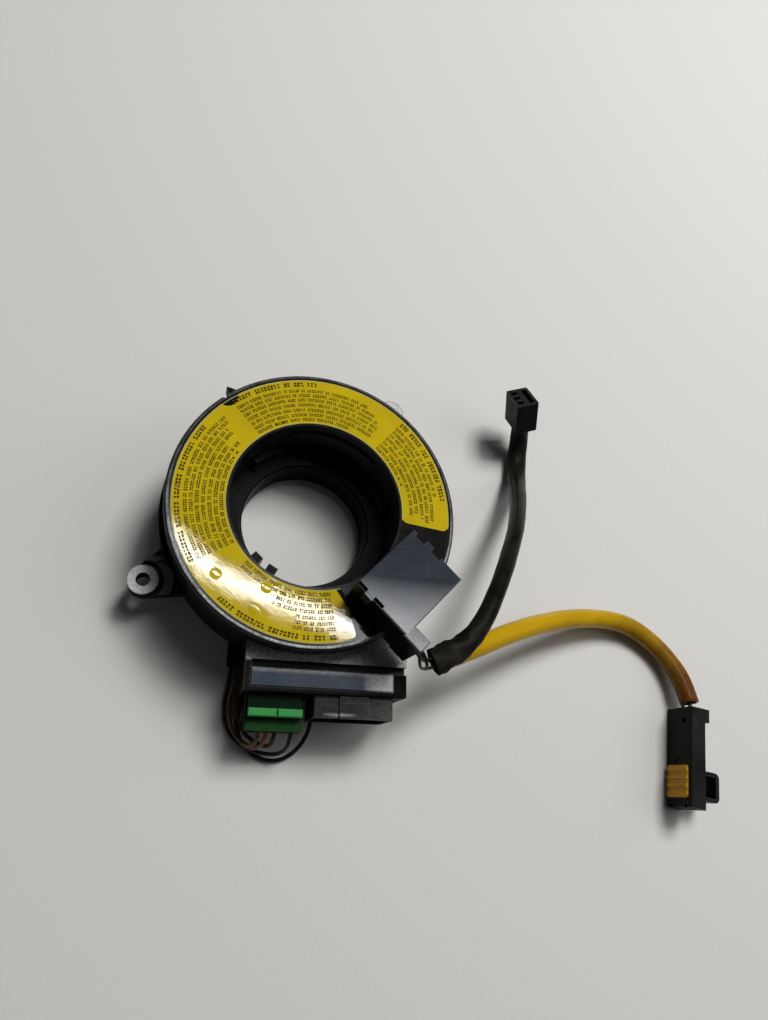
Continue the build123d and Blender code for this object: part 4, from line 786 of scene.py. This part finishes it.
# %% Finishes of the solids and the leads
NODE_FINISHES = {
    "stator_case": dusty_block,
    "block_cover": glossy_cover,
    "terminal_block": inner_black,
    "column_pins": tinned,
    "sensor_pins": tinned,
    "sensor_plug": green_body,
    "plug_retainer": green_bar,
    "sensor_case": black_housing,
    "sensor_base": black_housing,
    "sensor_board": board_green,
    "photo_eyes": inner_black,
    "flat_cable": cable_film,
    "rotor": glossy_rim,
    "label": yellow_label,
    "tower_lid": slate_lid,
    "busbar_carrier": inner_black,
    "busbars": brass_strip,
    "lower_sleeve": inner_black,
    "code_disc": disc_steel,
    "switch_plug": plug_black,
    "switch_terminals": tinned,
    "airbag_plug": plug_black,
    "airbag_terminals": tinned,
    "airbag_lock": yellow_lock,
    "switch_leads": WIRE_FINISHES["black"],
    "airbag_leads": WIRE_FINISHES["yellow"],
    "airbag_lead_black": WIRE_FINISHES["black"],
    "airbag_lead_yellow": WIRE_FINISHES["yellow"],
}


def dress(piece, finish):
    """Puts one finish on the whole piece."""
    piece.data.materials.clear()
    piece.data.materials.append(finish)


for node, finish in NODE_FINISHES.items():
    dress(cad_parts[node], finish)
dress(switch_sleeve, black_sleeve)
dress(airbag_tube, yellow_vinyl)
for colour, wire in wires.items():
    dress(wire, WIRE_FINISHES.get(colour, WIRE_FINISHES["black"]))
print("dressed nodes:", len(NODE_FINISHES))

# %% [markdown]
# ## Print on the label
# The real label carries rows of small print in panels round the ring. Here the rows are plain
# dashes of ink, which read as print from a distance and say nothing. Each dash is a short
# patch of the ring: two radii and two angles. All of them are computed as arrays, and one
# mesh holds them, a hair above the film so that the ink doesn't fight with it.

# %% Rows of dashes
LABEL_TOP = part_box("label")[1].z
INK_LIFT = 0.00003
PANELS = {
    "left": (213.0, [148.5, 140.0, 141.0, 144.0, 144.0, 152.0, 146.0, 157.5]),
    "top": (133.0, [91.0, 67.0, 62.0, 58.0, 57.0, 57.0, 57.0, 71.0]),
    "right": (50.0, [7.0, 10.0, -3.8, -3.8, -2.8, 1.0, -1.5, 27.0]),
    "low": (281.0, [229.0, 262.0, 262.0, 262.0, 250.0, 250.0, 226.0, 226.0]),
}
ROW_RADII = np.array([48.25, 45.5, 43.55, 41.6, 39.55, 37.45, 35.4, 33.45]) / 1000
TITLE_HEIGHT = 0.0017
ROW_HEIGHT = 0.0012
GLYPH = 0.00078
TITLE_GLYPH = 0.00130


def row_dashes(radius, height, glyph, start, end, rng):
    """Dashes along one row, in words of 2 to 9 places with a gap after each. Each place has
    an upper and a lower dash of its own width. Four arrays: inner radius, outer radius, first
    angle and last angle."""
    room = int(math.radians(start - end) * radius / glyph)
    words = rng.integers(2, 10, room)
    ends = np.cumsum(words + 1)
    slot = np.arange(room)
    slot = slot[~np.isin(slot, ends - 1)]
    parts = []
    for level in (0.5, -0.08):
        width = rng.uniform(0.48, 0.86, len(slot))
        shift = rng.uniform(0.0, 0.88 - width)
        low = radius + height * (level - rng.uniform(0.36, 0.48, len(slot)))
        high = radius + height * np.full(len(slot), level)
        first = math.radians(start) - (slot + 0.07 + shift) * glyph / radius
        parts.append((low, high, first, first - width * glyph / radius))
    return tuple(np.concatenate(group) for group in zip(*parts))


def ring_patches(name, low, high, first, last):
    """Patches of a flat ring in one mesh, each with four corners at two radii and two angles."""
    radius = np.stack([low, low, high, high], axis=1)
    angle = np.stack([first, last, first, last], axis=1)
    height = np.full_like(radius, LABEL_TOP + INK_LIFT)
    points = np.stack([radius * np.cos(angle), radius * np.sin(angle), height], axis=-1)
    faces = 4 * np.arange(len(low))[:, None] + [0, 1, 3, 2]
    mesh = bpy.data.meshes.new(name)
    mesh.from_pydata(points.reshape(-1, 3).tolist(), [], faces.tolist())
    mesh.update()
    return mesh


def print_on_label(name, parts, finish):
    """One printed piece from several (low, high, first, last) groups."""
    low, high, first, last = (np.concatenate(group) for group in zip(*parts))
    mesh = ring_patches(name, low, high, np.maximum(first, last), np.minimum(first, last))
    return on_rotor(name, mesh, finish)


def on_rotor(name, mesh, finish):
    """A piece on the label: face up, with its finish, and riding on the rotor."""
    if mesh.polygons[0].normal.z < 0:
        mesh.flip_normals()
    piece = add_piece(name, mesh)
    dress(piece, finish)
    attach(piece, "rotor")
    return piece


seeded = np.random.default_rng(7)
rows = []
for start, stops in PANELS.values():
    for number, (radius, stop) in enumerate(zip(ROW_RADII, stops)):
        title = number == 0
        rows.append(row_dashes(radius, TITLE_HEIGHT if title else ROW_HEIGHT,
                               TITLE_GLYPH if title else GLYPH, start, stop, seeded))
print_on_label("label_rows", rows, dark_ink)
print("dashes on the label:", sum(len(r[0]) for r in rows))

# %% [markdown]
# A pale line runs round just inside each edge of the label, and small pairs of arrow heads
# point at each other where the rotor has to be lined up. Lines are rows of long thin patches.

# %% Border lines and arrow heads
BORDER_FROM = math.radians(287.4)
BORDER_TO = math.radians(-4.4)
BORDER_RADII = np.array([0.03205, 0.04990])
BORDER_STEPS = 180
LINE = 0.00028
edges = np.linspace(BORDER_FROM, BORDER_TO, BORDER_STEPS + 1)
border = (
    np.repeat(BORDER_RADII - LINE / 2, BORDER_STEPS),
    np.repeat(BORDER_RADII + LINE / 2, BORDER_STEPS),
    np.tile(edges[:-1], 2), np.tile(edges[1:], 2),
)
print_on_label("label_border", [border], pale_ink)


def arrow_pair(angle, radius, size):
    """Two triangles whose tips face each other across a small gap, as six points."""
    around = np.array([-1.9, -1.9, -0.35, 1.9, 1.9, 0.35]) * size / radius
    outward = np.array([-0.55, 0.55, 0.0, 0.55, -0.55, 0.0]) * size
    turned = math.radians(angle) + around
    reach = radius + outward
    return np.stack([reach * np.cos(turned), reach * np.sin(turned),
                     np.full(6, LABEL_TOP + INK_LIFT)], axis=1)


ARROW_ANGLES = (154.3, 117.2, 22.4)
ARROW_RADIUS = 0.03345
ARROW_SIZE = 0.0009
points = np.concatenate([arrow_pair(angle, ARROW_RADIUS, ARROW_SIZE) for angle in ARROW_ANGLES])
arrow_mesh = bpy.data.meshes.new("label_arrows")
arrow_mesh.from_pydata(points.tolist(), [], np.arange(len(points)).reshape(-1, 3).tolist())
arrow_mesh.update()
on_rotor("label_arrows", arrow_mesh, dark_ink)
print("arrow pairs:", len(ARROW_ANGLES))

# %% [markdown]
# Three moulding pips on the disc push the label up in round spots. A spot is a low dome: a grid
# of radius and angle. Its height falls off as one minus the fourth power of the radius, so
# its middle is nearly flat and mirrors as the film round it does, and its edge doesn't.

# %% Spots in the label
SPOTS = ((244.5, 0.0440), (244.5, 0.0359), (222.0, 0.0437))
SPOT_R = 0.00205
SPOT_H = 0.00012
SPOT_SIDES = 36
SPOT_RINGS = 8


def spot_points(angle, radius):
    """One dome's points: its pole, then rings of points from the middle outwards."""
    turned = math.radians(angle)
    middle_x, middle_y = radius * math.cos(turned), radius * math.sin(turned)
    share = np.linspace(0, 1, SPOT_RINGS + 1)[1:, None]
    around = np.linspace(0, 2 * np.pi, SPOT_SIDES, endpoint=False)[None, :]
    x = middle_x + SPOT_R * share * np.cos(around)
    y = middle_y + SPOT_R * share * np.sin(around)
    z = LABEL_TOP + SPOT_H * (1 - share ** 4) + INK_LIFT / 2 + 0 * around
    rings = np.stack([x, y, z], axis=-1).reshape(-1, 3)
    return np.concatenate([[[middle_x, middle_y, LABEL_TOP + SPOT_H + INK_LIFT / 2]], rings])


def spot_faces():
    """Triangles round the pole, then rings of four-sided faces."""
    here = np.arange(SPOT_SIDES)
    after = (here + 1) % SPOT_SIDES
    faces = [(0, 1 + a, 1 + b) for a, b in zip(here.tolist(), after.tolist())]
    for ring in range(SPOT_RINGS - 1):
        inner = 1 + ring * SPOT_SIDES
        outer = inner + SPOT_SIDES
        corners = [inner + here, outer + here, outer + after, inner + after]
        faces += np.stack(corners, axis=1).tolist()
    return faces


for number, (angle, radius) in enumerate(SPOTS):
    spot_name = "label_spot_" + str(number)
    spot_mesh = bpy.data.meshes.new(spot_name)
    spot_mesh.from_pydata(spot_points(angle, radius).tolist(), [], spot_faces())
    spot_mesh.update()
    shade_smooth(spot_mesh)
    on_rotor(spot_name, spot_mesh, yellow_label)
print("spots:", len(SPOTS))

# %% [markdown]
# ## Bench and light
# The unit lies on a pale sheet under five lamps. A long one and a short one hang high behind
# it: their mirror images are the white bands on the label, and they light nothing else. The
# square key lamp, behind it and to the right, throws the shadows forwards and to the left. A
# side lamp and a top lamp soften them. Those three don't show in mirror images. A dim world
# fills the rest, at a level where colours come out as they are written.

# %% Bench
BENCH_REACH = 1.6
BENCH_CORNERS = ((-1, -1), (1, -1), (1, 1), (-1, 1))
bench_mesh = bpy.data.meshes.new("bench")
bench_mesh.from_pydata([(BENCH_REACH * x, BENCH_REACH * y, 0) for x, y in BENCH_CORNERS], [],
                       [(0, 1, 2, 3)])
bench = add_piece("bench", bench_mesh)
paper, paper_tree, paper_shader, paper_place = start_finish("pale_paper")
paper_fibre = noise(paper_tree, paper_place, 900, 4)
paper_tree.links.new(
    blend_colour(paper_tree, paper_fibre, (0.66, 0.655, 0.63, 1), (0.71, 0.705, 0.685, 1)),
    paper_shader.inputs["Base Color"])
paper_shader.inputs["Roughness"].default_value = 0.75
dress(bench, paper)
print("bench ready")

# %% Lamps and world
def lamp(name, place, aim, wide, long, power, colour, spin=0.0):
    """A rectangular lamp at place that shines towards aim, wide by long. Its long side runs
    along the level direction at the angle spin."""
    data = bpy.data.lights.new(name, "AREA")
    data.shape = "RECTANGLE"
    data.size = long
    data.size_y = wide
    data.energy = power
    data.color = colour
    light = bpy.data.objects.new(name, data)
    beam = np.array(aim) - np.array(place)
    beam = beam / np.linalg.norm(beam)
    along_lamp = np.array((math.cos(spin), math.sin(spin), 0.0))
    along_lamp = along_lamp - beam * (along_lamp @ beam)
    along_lamp /= np.linalg.norm(along_lamp)
    third = np.cross(-beam, along_lamp)
    axes = Matrix((along_lamp, third, -beam)).transposed().to_4x4()
    light.matrix_world = Matrix.Translation(place) @ axes
    bpy.context.scene.collection.objects.link(light)
    return light


LAMP_HEIGHT = 1.50
BAND_WIDTH = 0.036
BAND_COLOUR = (1.0, 0.99, 0.97)
BAND_LAMPS = {       # x and y, length, watts, turn
    "long_lamp": ((0.510, 0.234), 1.03, 4.0, -0.306),
    "short_lamp": ((-0.0755, 0.4655), 0.243, 0.95, -0.68),
}
SHADE_AIM = (0.03, 0.0, 0.0)
SHADE_LAMPS = {      # place, side, watts, colour
    "key_lamp": ((0.55, 0.76, 1.41), 0.53, 20.5, (1.0, 0.99, 0.975)),
    "side_lamp": ((1.0, 0.15, 0.75), 0.8, 3.2, (1.0, 0.99, 0.98)),
    "top_lamp": ((0.30, 0.52, LAMP_HEIGHT), 0.4, 3.3, (1.0, 0.99, 0.98)),
}
for name, (spot, long, power, spin) in BAND_LAMPS.items():
    band_lamp = lamp(name, (*spot, LAMP_HEIGHT), (*spot, 0.0), BAND_WIDTH, long, power,
                     BAND_COLOUR, spin)
    band_lamp.visible_diffuse = False
for name, (spot, side, power, colour) in SHADE_LAMPS.items():
    shade_lamp = lamp(name, spot, SHADE_AIM, side, side, power, colour)
    shade_lamp.visible_glossy = False
world = bpy.data.worlds.new("pale_room")
world.use_nodes = True
room = world.node_tree
sky_height = put(room, "ShaderNodeSeparateXYZ",
                 Vector=put(room, "ShaderNodeTexCoord").outputs["Generated"]).outputs["Z"]
sky = room.nodes["Background"]
room.links.new(remap(room, sky_height, 0.20, 0.85, 0.05, 0.042), sky.inputs["Strength"])
sky.inputs["Color"].default_value = (0.93, 0.96, 1.0, 1)
bpy.context.scene.world = world
bpy.context.scene.view_settings.view_transform = "Standard"
